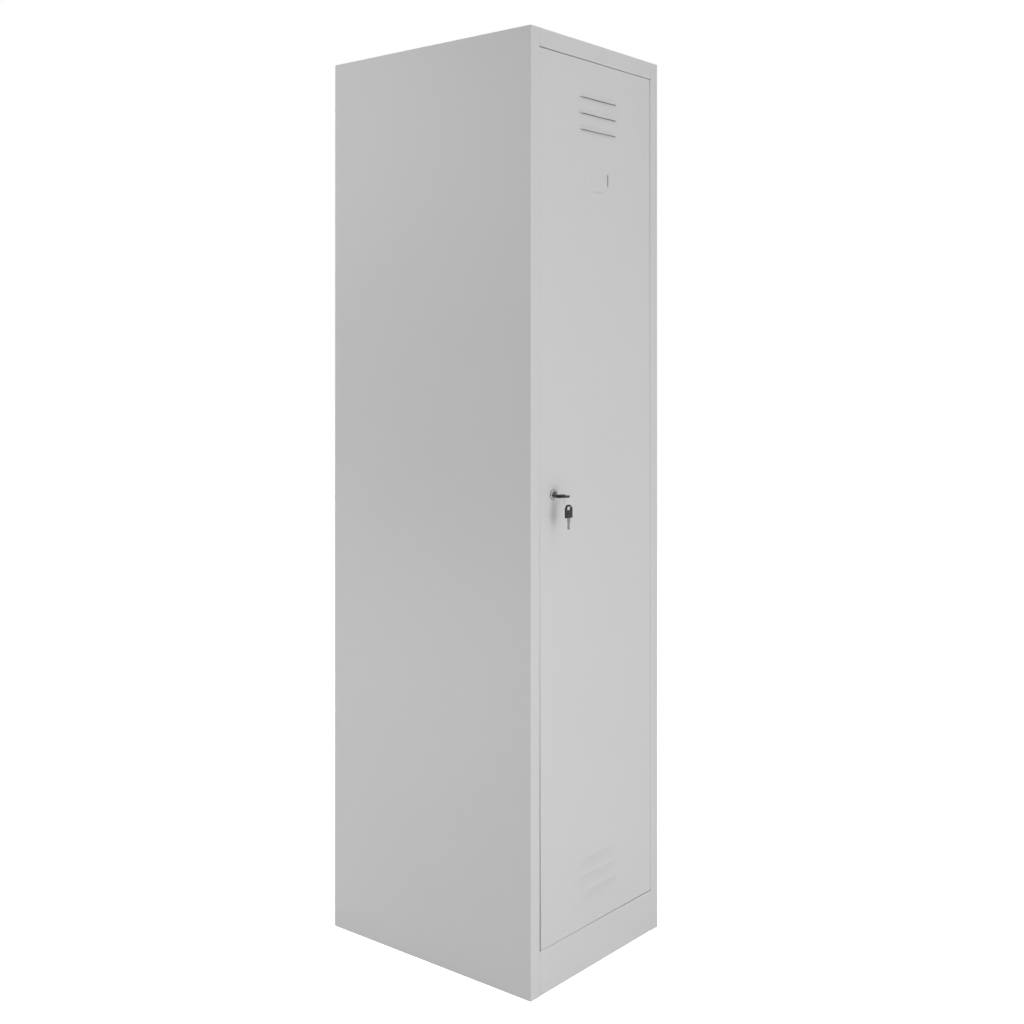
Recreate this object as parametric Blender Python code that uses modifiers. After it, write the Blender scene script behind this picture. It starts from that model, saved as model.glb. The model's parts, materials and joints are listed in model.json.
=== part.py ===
"""Single door steel locker with a hat shelf, a clothes rail and a keyed cam lock.

Metres, +Z up. The front faces -Y and the cabinet stands on z = 0. Most pieces are drawn
in the cabinet's own frame: x from its middle, y back from its front plane, z from the floor.
"""
import math

import bmesh
import bpy
from mathutils import Matrix, Vector

# Case
WIDTH = 0.425
DEPTH = 0.525
HEIGHT = 1.800

# Sheet metal
SHEET = 0.0008
BEND = 0.0014
BEND_STEPS = 2
FOLD_RELIEF = 0.004
JOINT_GAP = 0.0003

# Front frame
STILE = 0.027
HEADER = 0.0345
PLINTH = 0.0835
STOP_DEPTH = 0.024
STOP_LIP = 0.014
REAR_FLANGE = 0.018
FOOT_FLANGE = 0.022
PLINTH_RETURN = 0.018
TRAY_LIP = 0.020
BACK_INSET = 0.001

# Door
DOOR_GAP = 0.0016
DOOR_DEPTH = 0.020
DOOR_RETURN = 0.014
STIFFENER_FROM = 0.300
STIFFENER_TO = 1.450
STIFFENER_CROWN = 0.030
STIFFENER_SLOPE = 0.004
STIFFENER_FLANGE = 0.012
STIFFENER_DEPTH = 0.015

# Louvre hoods pressed out of the door skin, open downwards
HOOD_LENGTH = 0.129
HOOD_RISE = 0.012
HOOD_REACH = 0.0036
HOOD_PITCH = 0.0315
HOOD_COUNT = 3
TOP_HOOD_BELOW_TOP = 0.1085
LOW_HOOD_ABOVE_FLOOR = 0.143
HOOD_STEPS = 4
CURVE_STEPS = 4
PRESS_DROP = 0.0004
PRESS_SINK = 0.0002

# Card holder lanced out of the door skin
CARD_LIP_RISE = 0.005
CARD_LIP_REACH = 0.0018
CARD_SIDE_LENGTH = 0.029
CARD_FOOT_LENGTH = 0.036
CARD_WIDTH = 0.0745
CARD_SIDE_BELOW_TOP = 0.263
CARD_FOOT_BELOW_TOP = 0.290

# Concealed pin hinge
HINGE_INSET = 0.0086
HINGE_SETBACK = 0.0053
PIN_RADIUS = 0.002
PIN_HEAD_RADIUS = 0.004
PIN_HEAD = 0.002
PIN_PAST_BUSH = 0.002
BUSH_WALL = 0.0011
BUSH_LENGTH = 0.006
BUSH_SHOULDER_RADIUS = 0.0046
PIVOT_PLATE = 0.003
PIVOT_PLATE_WIDTH = 0.030
PIVOT_PLATE_DEEP = 0.014

# Door buffers
BUFFER_RADIUS = 0.0045
BUFFER_UPPER = 1.500
BUFFER_LOWER = 0.360

# Cam lock
LOCK_FROM_EDGE = 0.0394
LOCK_HEIGHT = 0.928
BEZEL_RADIUS = 0.01025
BEZEL_THICK = 0.0028
BEZEL_ROUND = 0.0009
BARREL_RADIUS = 0.0090
BARREL_FLATS = 0.0155
PLUG_RADIUS = 0.0062
PLUG_TAIL = 0.0006
KEYWAY_DROP = 0.002
TANG = 0.006
TANG_SHORT = 0.0003
NUT_ACROSS = 0.024
NUT_THICK = 0.004
CAM_CLEAR = 0.0009
CAM_LENGTH = 0.038
CAM_WIDTH = 0.016
CAM_THICK = 0.002
SCREW_RADIUS = 0.0015
SCREW_HEAD_RADIUS = 0.0045
SCREW_HEAD = 0.002
SCREW_LENGTH = 0.006

# Keys: a steel blade in a plastic bow
BLADE_WIDTH = 0.006
BLADE_THICK = 0.002
BLADE_LENGTH = 0.022
BLADE_TIP = 0.002
NECK_WIDTH = 0.0074
NECK_LENGTH = 0.0065
KEY_CUT = 0.0013
KEY_CUT_PITCH = 0.0030
KEY_CUTS = 3
KEY_TANG = 0.0065
BOW_START = 0.011
BOW_LENGTH = 0.025
BOW_WIDTH = 0.020
BOW_CORNER = 0.002
BOW_THICK = 0.003
BOW_BRIDGE = 0.0035
BOW_HOLE_WIDTH = 0.009
BOW_HOLE_LENGTH = 0.0071
BOW_HOLE_ROUND = 0.0025
GRIP_THICK = 0.0058
GRIP_WIDTH = 0.0168
GRIP_LENGTH = 0.0115
GRIP_MARGIN = 0.0012
RING_RADIUS = 0.011
RING_WIRE = 0.0012

# Hat shelf
SHELF_HEIGHT = 1.480
SHELF_SETBACK = 0.050
SHELF_LIP = 0.018
SHELF_HEM = 0.010
REST_LEG = 0.025
REST_SEAT = 0.020
REST_MARGIN = 0.020

# Clothes rail with sliding hooks
RAIL_RADIUS = 0.011
RAIL_WALL = 0.0015
RAIL_BACK = 0.270
RAIL_DROP = 0.070
SOCKET_RADIUS = 0.022
SOCKET_BASE = 0.002
SOCKET_WALL = 0.003
SOCKET_DEEP = 0.012
HOOK_COUNT = 3
HOOK_SPACING = 0.100
HOOK_WALL = 0.003
HOOK_BAND = 0.012
HOOK_WIRE_RADIUS = 0.0025
HOOK_DROP = 0.034
HOOK_CURVE = 0.014
HOOK_SWEEP = math.radians(205)
HOOK_TIP_RADIUS = 0.0042
HOOK_ARC_POINTS = 12

# Facets of round pieces
ROUND_STEPS = 32
SMALL_ROUND_STEPS = 20
RING_STEPS = 40
WIRE_SIDES = 8
CURVE_FACETS = 4

# Places that follow from the sizes above
HALF_WIDTH = WIDTH / 2
WALL_INSIDE = HALF_WIDTH - SHEET - JOINT_GAP
BACK_LAP = SHEET + JOINT_GAP
REAR_INSIDE = DEPTH - BACK_LAP - SHEET - JOINT_GAP
JAMB = HALF_WIDTH - STILE
DOOR_SIDE = JAMB - DOOR_GAP
DOOR_BOTTOM = PLINTH + DOOR_GAP
DOOR_TOP = HEIGHT - HEADER - DOOR_GAP
OPENING_BOTTOM = PLINTH + JOINT_GAP
OPENING_TOP = HEIGHT - HEADER - JOINT_GAP
BUSH_SHOULDER = DOOR_GAP - 2 * JOINT_GAP
BUSH_RADIUS = PIN_RADIUS + JOINT_GAP + BUSH_WALL
HINGE_X = DOOR_SIDE - HINGE_INSET
LOCK_X = LOCK_FROM_EDGE - DOOR_SIDE
CAM_FRONT = STOP_DEPTH + SHEET + CAM_CLEAR
BARREL_END = CAM_FRONT - PLUG_TAIL - JOINT_GAP
BEZEL_FACE = JOINT_GAP + BEZEL_THICK
BOW_END = BOW_START + BOW_LENGTH
HOLE_END = BOW_END - BOW_BRIDGE
RING_INSIDE = RING_RADIUS - RING_WIRE / 2 - JOINT_GAP
RING_DROP = math.sqrt(RING_INSIDE ** 2 - BOW_BRIDGE ** 2) - BOW_THICK / 2
SPARE_SEAT = RING_DROP + math.sqrt(RING_INSIDE ** 2 - (BOW_THICK / 2) ** 2)
KEY_REACH = BOW_END + RING_RADIUS + RING_WIRE / 2
FRONT_Y = (KEY_REACH - DEPTH) / 2
RAIL_HEIGHT = SHELF_HEIGHT - RAIL_DROP

TINY = 0.00001
STRAIGHT = math.radians(179)
SOFT_ANGLE = math.radians(35)
QUARTER = math.pi / 2
ACROSS = Vector((1, 0, 0))
BACKWARD = Vector((0, 1, 0))
UPWARD = Vector((0, 0, 1))
OUT_OF_DOOR = (QUARTER, 0, 0)


def start_clean():
    for item in list(bpy.data.objects):
        bpy.data.objects.remove(item, do_unlink=True)
    for group in list(bpy.data.collections):
        bpy.data.collections.remove(group)


def collection(name):
    made = bpy.data.collections.new(name)
    bpy.context.scene.collection.children.link(made)
    return made


start_clean()
LOCKER = collection("single_door_locker")
CUTTERS = collection("cutters")


def finish(name, colour, roughness, metallic):
    made = bpy.data.materials.new(name)
    made.use_nodes = True
    shader = made.node_tree.nodes["Principled BSDF"]
    shader.inputs["Base Color"].default_value = (*colour, 1.0)
    shader.inputs["Roughness"].default_value = roughness
    shader.inputs["Metallic"].default_value = metallic
    return made


def powder_coat(name):
    return finish(name, (0.52, 0.52, 0.52), 0.5, 0.0)


def bright_steel(name):
    return finish(name, (0.60, 0.59, 0.57), 0.3, 1.0)


def nickel(name):
    return finish(name, (0.66, 0.64, 0.60), 0.22, 1.0)


def black_plastic(name):
    return finish(name, (0.016, 0.016, 0.017), 0.45, 0.0)


def grey_nylon(name):
    return finish(name, (0.28, 0.28, 0.28), 0.5, 0.0)


def black_rubber(name):
    return finish(name, (0.02, 0.02, 0.02), 0.8, 0.0)


def anchor(name, at, parent=None):
    """Empty at a point of the cabinet's frame, which carries a group of pieces."""
    made = bpy.data.objects.new(name, None)
    LOCKER.objects.link(made)
    attach(made, parent, at)
    return made


def cabinet_place(item):
    """Where an anchor lies in the cabinet's frame; the anchors are never turned."""
    place = Vector()
    while item.parent:
        place += item.location
        item = item.parent
    return place


def attach(item, parent, at=(0, 0, 0), turn=(0, 0, 0)):
    """Hangs an object on an anchor, at a point given in the cabinet's frame."""
    item.location = Vector(at)
    if parent:
        item.parent = parent
        item.location -= cabinet_place(parent)
    item.rotation_euler = turn


def add_mesh(name, bm, group=LOCKER):
    mesh = bpy.data.meshes.new(name)
    bm.to_mesh(mesh)
    bm.free()
    made = bpy.data.objects.new(name, mesh)
    group.objects.link(made)
    return made


def part(name, bm, material):
    made = add_mesh(name, bm)
    made.data.materials.append(material(name))
    return made


def cutter(name, bm):
    made = add_mesh(name, bm, CUTTERS)
    made.hide_render = True
    made.display_type = "WIRE"
    return made


def combine(item, tool, operation="DIFFERENCE"):
    """Boolean with a tool drawn in the same frame as the piece, so it rides on the piece."""
    tool.parent = item
    step = item.modifiers.new(tool.name, "BOOLEAN")
    step.operation = operation
    step.solver = "EXACT"
    step.object = tool


def as_bmesh(item):
    """Evaluated shape of an object in its own frame, welded; the object is removed."""
    bpy.context.view_layer.update()
    graph = bpy.context.evaluated_depsgraph_get()
    mesh = bpy.data.meshes.new_from_object(item.evaluated_get(graph))
    bm = bmesh.new()
    bm.from_mesh(mesh)
    bmesh.ops.remove_doubles(bm, verts=bm.verts, dist=TINY)
    bmesh.ops.recalc_face_normals(bm, faces=bm.faces)
    bpy.data.meshes.remove(mesh)
    bpy.data.objects.remove(item, do_unlink=True)
    return bm


def smooth(item):
    item.data.shade_smooth()
    item.data.set_sharp_from_angle(angle=SOFT_ANGLE)


def box(low, high):
    """Block between two corners."""
    low, high = Vector(low), Vector(high)
    bm = bmesh.new()
    bmesh.ops.create_cube(bm, size=1)
    bmesh.ops.scale(bm, vec=high - low, verts=bm.verts)
    bmesh.ops.translate(bm, vec=(low + high) / 2, verts=bm.verts)
    return bm


def rod(radius, low, high, steps=ROUND_STEPS):
    """Round bar along z."""
    bm = bmesh.new()
    bmesh.ops.create_cone(
        bm, cap_ends=True, segments=steps, radius1=radius, radius2=radius, depth=high - low
    )
    bmesh.ops.translate(bm, vec=(0, 0, (low + high) / 2), verts=bm.verts)
    return bm


def joined(pieces):
    """One mesh of several shapes that don't touch."""
    whole = bmesh.new()
    for piece in pieces:
        mesh = bpy.data.meshes.new("piece")
        piece.to_mesh(mesh)
        piece.free()
        whole.from_mesh(mesh)
        bpy.data.meshes.remove(mesh)
    return whole


def turned(profile, steps=ROUND_STEPS):
    """Shape turned about z from (radius, height) points that run down the outer side."""
    bm = bmesh.new()
    points = [bm.verts.new((radius, 0, height)) for radius, height in profile]
    ends = list(zip(points, points[1:]))
    on_axis = profile[0][0] == 0 and profile[-1][0] == 0
    if not on_axis:
        ends.append((points[-1], points[0]))
    for pair in ends:
        bm.edges.new(pair)
    made = add_mesh("turning", bm)
    screw = made.modifiers.new("turn", "SCREW")
    screw.steps = steps
    screw.render_steps = steps
    screw.use_merge_vertices = True
    screw.merge_threshold = TINY
    return as_bmesh(made)


def flat_plate(outlines, thickness):
    """Plate in the xy plane, half its thickness either side, from closed outlines."""
    curve = bpy.data.curves.new("outline", "CURVE")
    curve.dimensions = "2D"
    curve.fill_mode = "BOTH"
    curve.extrude = thickness / 2
    for outline in outlines:
        spline = curve.splines.new("POLY")
        spline.points.add(len(outline) - 1)
        for point, place in zip(spline.points, outline):
            point.co = (*place, 0, 1)
        spline.use_cyclic_u = True
    made = bpy.data.objects.new("outline", curve)
    LOCKER.objects.link(made)
    return as_bmesh(made)


def wire(points, radius):
    """Round wire through points, with closed ends."""
    curve = bpy.data.curves.new("wire", "CURVE")
    curve.dimensions = "3D"
    curve.bevel_depth = radius
    curve.bevel_resolution = 2
    curve.use_fill_caps = True
    spline = curve.splines.new("POLY")
    spline.points.add(len(points) - 1)
    for point, place in zip(spline.points, points):
        point.co = (*place, 1)
    made = bpy.data.objects.new("wire", curve)
    LOCKER.objects.link(made)
    return as_bmesh(made)


def arc(centre, radius, start, end, steps=CURVE_FACETS):
    """Points of an arc about a centre in the plane, both ends included."""
    angles = [start + (end - start) * step / steps for step in range(steps + 1)]
    return [(centre[0] + radius * math.cos(a), centre[1] + radius * math.sin(a)) for a in angles]


def rounded_rectangle(low, high, radius):
    """Outline of a rectangle with round corners."""
    corners = (
        (high[0] - radius, high[1] - radius),
        (low[0] + radius, high[1] - radius),
        (low[0] + radius, low[1] + radius),
        (high[0] - radius, low[1] + radius),
    )
    outline = []
    for turn, corner in enumerate(corners):
        outline += arc(corner, radius, turn * QUARTER, (turn + 1) * QUARTER)
    return outline


def folded_line(corners):
    """Fold line through corners, each of them rounded to the bend radius."""
    corners = [Vector(corner) for corner in corners]
    line = [corners[0]]
    for before, corner, after in zip(corners, corners[1:], corners[2:]):
        back = (before - corner).normalized()
        onward = (after - corner).normalized()
        opening = back.angle(onward)
        if opening > STRAIGHT:
            line.append(corner)
            continue
        centre = corner + (back + onward).normalized() * BEND / math.sin(opening / 2)
        arm = corner + back * BEND / math.tan(opening / 2) - centre
        axis = back.cross(onward)
        for step in range(BEND_STEPS + 1):
            turn = Matrix.Rotation((opening - math.pi) * step / BEND_STEPS, 3, axis)
            line.append(centre + turn @ arm)
    line.append(corners[-1])
    return line


def swept_sheet(corners, sweep, stations, outward):
    """Open sheet: a line of folds swept through stations, its first strip facing outward."""
    bm = bmesh.new()
    points = [bm.verts.new(point + sweep * stations[0]) for point in folded_line(corners)]
    edge_row = [bm.edges.new(pair) for pair in zip(points, points[1:])]
    for near, far in zip(stations, stations[1:]):
        grown = bmesh.ops.extrude_edge_only(bm, edges=edge_row)["geom"]
        moved = [item for item in grown if isinstance(item, bmesh.types.BMVert)]
        edge_row = [item for item in grown if isinstance(item, bmesh.types.BMEdge)]
        bmesh.ops.translate(bm, vec=sweep * (far - near), verts=moved)
    bmesh.ops.recalc_face_normals(bm, faces=bm.faces)
    if points[0].link_faces[0].normal.dot(Vector(outward)) < 0:
        bmesh.ops.reverse_faces(bm, faces=bm.faces)
    return bm


def trim(bm, unwanted):
    """Takes away the strips whose middle is in a notch."""
    faces = [face for face in bm.faces if unwanted(face.calc_center_median())]
    bmesh.ops.delete(bm, geom=faces, context="FACES")


def sheet_part(name, bm, material=powder_coat):
    """Gives an open sheet its thickness inwards."""
    made = part(name, bm, material)
    wall = made.modifiers.new("sheet", "SOLIDIFY")
    wall.thickness = SHEET
    wall.offset = -1
    wall.use_even_offset = True
    return made


def pan_part(name, bm, material=powder_coat):
    """Sheet part with its box corners rounded to the bend radius."""
    made = sheet_part(name, bm, material)
    fold = made.modifiers.new("folds", "BEVEL")
    fold.width = BEND
    fold.segments = BEND_STEPS
    fold.limit_method = "ANGLE"
    fold.angle_limit = SOFT_ANGLE
    made.modifiers.move(1, 0)
    return made


def open_box(low, high, open_side):
    """Skin of a block without the face on one side."""
    bm = box(low, high)
    bm.normal_update()
    faces = [face for face in bm.faces if face.normal.dot(open_side) > 1 - TINY]
    bmesh.ops.delete(bm, geom=faces, context="FACES")
    return bm


def side_panel(name, side, body):
    """Side wall with its rear flange, stile, jamb, stop lip and foot flange."""
    rear = DEPTH - BACK_LAP
    line = (
        (side * (HALF_WIDTH - REAR_FLANGE), rear, 0),
        (side * HALF_WIDTH, rear, 0),
        (side * HALF_WIDTH, rear - FOLD_RELIEF, 0),
        (side * HALF_WIDTH, FOLD_RELIEF, 0),
        (side * HALF_WIDTH, 0, 0),
        (side * JAMB, 0, 0),
        (side * JAMB, STOP_DEPTH, 0),
        (side * (JAMB - STOP_LIP), STOP_DEPTH, 0),
    )
    bm = swept_sheet(line, UPWARD, (0, OPENING_BOTTOM, OPENING_TOP, HEIGHT), BACKWARD)

    def beyond_opening(middle):
        behind_stile = abs(middle.x) < JAMB + BEND and TINY < middle.y < STOP_DEPTH + TINY
        return behind_stile and not OPENING_BOTTOM < middle.z < OPENING_TOP

    def on_floor(edge):
        middle = (edge.verts[0].co + edge.verts[1].co) / 2
        on_wall = abs(abs(middle.x) - HALF_WIDTH) < TINY and middle.z < TINY
        return on_wall and FOLD_RELIEF < middle.y < rear - FOLD_RELIEF

    trim(bm, beyond_opening)
    foot = [edge for edge in bm.edges if on_floor(edge)]
    grown = bmesh.ops.extrude_edge_only(bm, edges=foot)["geom"]
    moved = [item for item in grown if isinstance(item, bmesh.types.BMVert)]
    bmesh.ops.translate(bm, vec=(-side * FOOT_FLANGE, 0, 0), verts=moved)
    attach(sheet_part(name, bm), body)


def rail_stations():
    """Ends of a rail's face, flange and stop lip, from left to right."""
    ends = (JAMB + BEND - JOINT_GAP, JAMB - JOINT_GAP, JAMB - STOP_LIP - JOINT_GAP)
    return [-end for end in ends] + [end for end in reversed(ends)]


def clear_of_jambs(middle):
    """Outside the jambs a rail has only its face, and its lip stops at the jambs' lips."""
    beside_jamb = abs(middle.x) > JAMB - JOINT_GAP and middle.y > TINY
    beside_lip = abs(middle.x) > JAMB - STOP_LIP - JOINT_GAP and middle.y > STOP_DEPTH - BEND
    return beside_jamb or beside_lip


def header_rail(body):
    """Rail over the door, with the hole for the upper hinge bush."""
    under = HEIGHT - HEADER
    line = (
        (0, 0, HEIGHT),
        (0, 0, under),
        (0, STOP_DEPTH, under),
        (0, STOP_DEPTH, under - STOP_LIP),
    )
    bm = swept_sheet(line, ACROSS, rail_stations(), -BACKWARD)
    trim(bm, clear_of_jambs)
    rail = sheet_part("header_rail", bm)
    combine(rail, bush_hole("header_bush_hole", under))
    attach(rail, body)


def plinth(body):
    """Kick panel under the door, with the hole for the lower hinge bush."""
    line = (
        (0, PLINTH_RETURN, 0),
        (0, 0, 0),
        (0, 0, PLINTH),
        (0, STOP_DEPTH, PLINTH),
        (0, STOP_DEPTH, PLINTH + STOP_LIP),
    )
    bm = swept_sheet(line, ACROSS, rail_stations(), -UPWARD)
    trim(bm, clear_of_jambs)
    panel = sheet_part("plinth", bm)
    combine(panel, bush_hole("plinth_bush_hole", PLINTH))
    attach(panel, body)


def bush_hole(name, height):
    bm = rod(BUSH_RADIUS + JOINT_GAP, height - BUSH_LENGTH, height + BUSH_LENGTH, SMALL_ROUND_STEPS)
    bmesh.ops.translate(bm, vec=(HINGE_X, HINGE_SETBACK, 0), verts=bm.verts)
    return cutter(name, bm)


def top_panel(body):
    low = (-WALL_INSIDE, BACK_LAP, HEIGHT - TRAY_LIP)
    high = (WALL_INSIDE, REAR_INSIDE, HEIGHT)
    attach(pan_part("top_panel", open_box(low, high, -UPWARD)), body)


def bottom_panel(body):
    """Floor tray, which runs forward under the plinth's flange as far as the hinge bush."""
    top = PLINTH - BACK_LAP
    low = (-WALL_INSIDE, HINGE_SETBACK + BUSH_RADIUS + BEND, top - TRAY_LIP)
    high = (WALL_INSIDE, REAR_INSIDE, top)
    attach(pan_part("bottom_panel", open_box(low, high, -UPWARD)), body)


def back_panel(body):
    edge = HALF_WIDTH - BACK_INSET
    bm = box((-edge, DEPTH - SHEET, BACK_INSET), (edge, DEPTH, HEIGHT - BACK_INSET))
    attach(part("back_panel", bm, powder_coat), body)


def hat_shelf(body):
    """Shelf with folded front and rear edges, hemmed back under the front one."""
    under = SHELF_HEIGHT - SHELF_LIP
    line = (
        (0, SHELF_SETBACK + SHELF_HEM, under),
        (0, SHELF_SETBACK, under),
        (0, SHELF_SETBACK, SHELF_HEIGHT),
        (0, REAR_INSIDE, SHELF_HEIGHT),
        (0, REAR_INSIDE, under),
    )
    bm = swept_sheet(line, ACROSS, (-WALL_INSIDE, WALL_INSIDE), -UPWARD)
    attach(sheet_part("hat_shelf", bm), body)


def shelf_rest(name, side, body):
    """Angle on the side wall that carries the shelf."""
    seat = SHELF_HEIGHT - SHEET - JOINT_GAP
    line = (
        (side * (WALL_INSIDE - REST_SEAT), 0, seat),
        (side * WALL_INSIDE, 0, seat),
        (side * WALL_INSIDE, 0, seat - REST_LEG),
    )
    stations = (SHELF_SETBACK + REST_MARGIN, REAR_INSIDE - REST_MARGIN)
    attach(sheet_part(name, swept_sheet(line, BACKWARD, stations, UPWARD)), body)


def rail_socket(name, side, body):
    """Cup on the side wall that holds an end of the clothes rail."""
    bore = RAIL_RADIUS + JOINT_GAP
    ring = bore + SOCKET_WALL
    bm = turned((
        (0, SOCKET_BASE),
        (bore, SOCKET_BASE),
        (bore, SOCKET_BASE + SOCKET_DEEP),
        (ring, SOCKET_BASE + SOCKET_DEEP),
        (ring, SOCKET_BASE),
        (SOCKET_RADIUS, SOCKET_BASE),
        (SOCKET_RADIUS, 0),
        (0, 0),
    ))
    socket = part(name, bm, black_plastic)
    smooth(socket)
    attach(socket, body, (side * WALL_INSIDE, RAIL_BACK, RAIL_HEIGHT), (0, -side * QUARTER, 0))


def clothes_rail(body):
    end = WALL_INSIDE - SOCKET_BASE - JOINT_GAP
    inside = RAIL_RADIUS - RAIL_WALL
    profile = ((inside, end), (RAIL_RADIUS, end), (RAIL_RADIUS, -end), (inside, -end))
    rail = part("clothes_rail", turned(profile), bright_steel)
    smooth(rail)
    attach(rail, body, (0, RAIL_BACK, RAIL_HEIGHT), (0, QUARTER, 0))


def hook_shape():
    """Band round the rail with a wire hook under it, which ends in a ball."""
    bore = RAIL_RADIUS + JOINT_GAP
    outside = bore + HOOK_WALL
    half = HOOK_BAND / 2
    band = turned(((bore, half), (outside, half), (outside, -half), (bore, -half)))
    bmesh.ops.rotate(band, matrix=Matrix.Rotation(QUARTER, 3, "Y"), verts=band.verts)
    turn_centre = (-HOOK_CURVE, -outside - HOOK_DROP)
    bend = arc(turn_centre, HOOK_CURVE, 0, -HOOK_SWEEP, HOOK_ARC_POINTS)
    path = [(0, 0, -bore - HOOK_WALL / 2)] + [(0, y, z) for y, z in bend]
    ball = bmesh.new()
    bmesh.ops.create_uvsphere(ball, u_segments=10, v_segments=6, radius=HOOK_TIP_RADIUS)
    bmesh.ops.translate(ball, vec=path[-1], verts=ball.verts)
    shape = add_mesh("hook_shape", band)
    combine(shape, cutter("hook_wire", wire(path, HOOK_WIRE_RADIUS)), "UNION")
    combine(shape, cutter("hook_ball", ball), "UNION")
    return as_bmesh(shape)


def coat_hook(name, number):
    """Hook on its own anchor on the rail's axis."""
    x = (number - (HOOK_COUNT - 1) / 2) * HOOK_SPACING
    place = (x, RAIL_BACK, RAIL_HEIGHT)
    hook = part(name, hook_shape(), bright_steel)
    smooth(hook)
    attach(hook, anchor(name + "_slide", place, CABINET), place)


def pressed_hood(length, rise, reach, back):
    """Half of a long blister, closed at its round ends, flat below and facing -y."""
    shares = [step / CURVE_STEPS for step in range(CURVE_STEPS + 1)]
    deep = reach + PRESS_SINK
    line = [(rise * share, deep * share * share - reach) for share in shares]
    line += [(rise, back), (0, back)]
    half = length / 2 - rise
    bm = bmesh.new()
    points = [bm.verts.new((half + out, y, 0)) for out, y in line]
    edges = [bm.edges.new(pair) for pair in zip(points, points[1:])]

    def round_end(geometry, x):
        spun = bmesh.ops.spin(
            bm, geom=geometry, cent=(x, 0, 0), axis=(0, -1, 0), angle=QUARTER, steps=HOOD_STEPS
        )
        return spun["geom_last"]

    last = round_end(points + edges, half)
    edges = [item for item in last if isinstance(item, bmesh.types.BMEdge)]
    grown = bmesh.ops.extrude_edge_only(bm, edges=edges)["geom"]
    points = [item for item in grown if isinstance(item, bmesh.types.BMVert)]
    edges = [item for item in grown if isinstance(item, bmesh.types.BMEdge)]
    bmesh.ops.translate(bm, vec=(-2 * half, 0, 0), verts=points)
    round_end(points + edges, -half)
    bmesh.ops.remove_doubles(bm, verts=bm.verts, dist=TINY)
    rim = [edge for edge in bm.edges if edge.is_boundary]
    bmesh.ops.holes_fill(bm, edges=rim, sides=0)
    bmesh.ops.recalc_face_normals(bm, faces=bm.faces)
    return bm


def placed(bm, place, turn=0.0):
    """Moves a pressing to its slot line on the door, turned about the door's normal."""
    matrix = Matrix.Translation(place) @ Matrix.Rotation(turn, 4, "Y")
    bmesh.ops.transform(bm, matrix=matrix, verts=bm.verts)
    return bm


def pressings(shape):
    """Every louvre hood and card lip on the door, each made by one shape function."""
    for number in range(HOOD_COUNT):
        step = number * HOOD_PITCH
        for height in (HEIGHT - TOP_HOOD_BELOW_TOP - step, LOW_HOOD_ABOVE_FLOOR + step):
            yield placed(shape(HOOD_LENGTH, HOOD_RISE, HOOD_REACH), (0, 0, height))
    lip_line = CARD_WIDTH / 2 - CARD_LIP_RISE
    for side in (-1, 1):
        lip = shape(CARD_SIDE_LENGTH, CARD_LIP_RISE, CARD_LIP_REACH)
        place = (side * lip_line, 0, HEIGHT - CARD_SIDE_BELOW_TOP)
        yield placed(lip, place, side * QUARTER)
    foot = shape(CARD_FOOT_LENGTH, CARD_LIP_RISE, CARD_LIP_REACH)
    yield placed(foot, (0, 0, HEIGHT - CARD_FOOT_BELOW_TOP), math.pi)


def hood_outside(length, rise, reach):
    return pressed_hood(length, rise, reach, SHEET / 2)


def hood_inside(length, rise, reach):
    """Hollow of a hood, a sheet inside it and a little past its slot line."""
    rise_inside = rise - SHEET + PRESS_DROP
    bm = pressed_hood(length - 2 * SHEET, rise_inside, reach - SHEET, DOOR_DEPTH / 4)
    bmesh.ops.translate(bm, vec=(0, 0, -PRESS_DROP), verts=bm.verts)
    return bm


def double_d(radius, flats, low, high):
    """Round bar along z with two flats."""
    bm = rod(radius, low, high)
    for side in (-1, 1):
        geometry = bm.verts[:] + bm.edges[:] + bm.faces[:]
        place = (side * flats / 2, 0, 0)
        bmesh.ops.bisect_plane(
            bm, geom=geometry, dist=TINY / 10, plane_co=place, plane_no=(side, 0, 0), clear_outer=True
        )
        rim = [edge for edge in bm.edges if edge.is_boundary]
        bmesh.ops.holes_fill(bm, edges=rim, sides=0)
    bmesh.ops.recalc_face_normals(bm, faces=bm.faces)
    return bm


def door_holes():
    """Lock hole through the skin and pin holes through the top and bottom walls."""
    lock = double_d(
        BARREL_RADIUS + JOINT_GAP, BARREL_FLATS + 2 * JOINT_GAP, -DOOR_DEPTH / 2, DOOR_DEPTH / 2
    )
    bmesh.ops.rotate(lock, matrix=Matrix.Rotation(QUARTER, 3, "X"), verts=lock.verts)
    bmesh.ops.translate(lock, vec=(LOCK_X, 0, LOCK_HEIGHT), verts=lock.verts)
    holes = [lock]
    for height in (DOOR_BOTTOM, DOOR_TOP):
        hole = rod(PIN_RADIUS + JOINT_GAP, -PIVOT_PLATE, PIVOT_PLATE, SMALL_ROUND_STEPS)
        bmesh.ops.translate(hole, vec=(HINGE_X, HINGE_SETBACK, height), verts=hole.verts)
        holes.append(hole)
    return joined(holes)


def door_panel(body):
    """Pan with returns behind, louvres and card lips pressed out, and its holes."""
    bm = box((-DOOR_SIDE, 0, DOOR_BOTTOM), (DOOR_SIDE, DOOR_DEPTH, DOOR_TOP))
    bm.normal_update()
    back = [face for face in bm.faces if face.normal.dot(BACKWARD) > 1 - TINY]
    bmesh.ops.inset_region(bm, faces=back, thickness=DOOR_RETURN, use_even_offset=True)
    bmesh.ops.delete(bm, geom=back, context="FACES")
    panel = pan_part("door_panel", bm)
    combine(panel, cutter("pressed_out", joined(pressings(hood_outside))), "UNION")
    combine(panel, cutter("pressed_hollow", joined(pressings(hood_inside))))
    combine(panel, cutter("door_holes", door_holes()))
    attach(panel, body)


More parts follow.
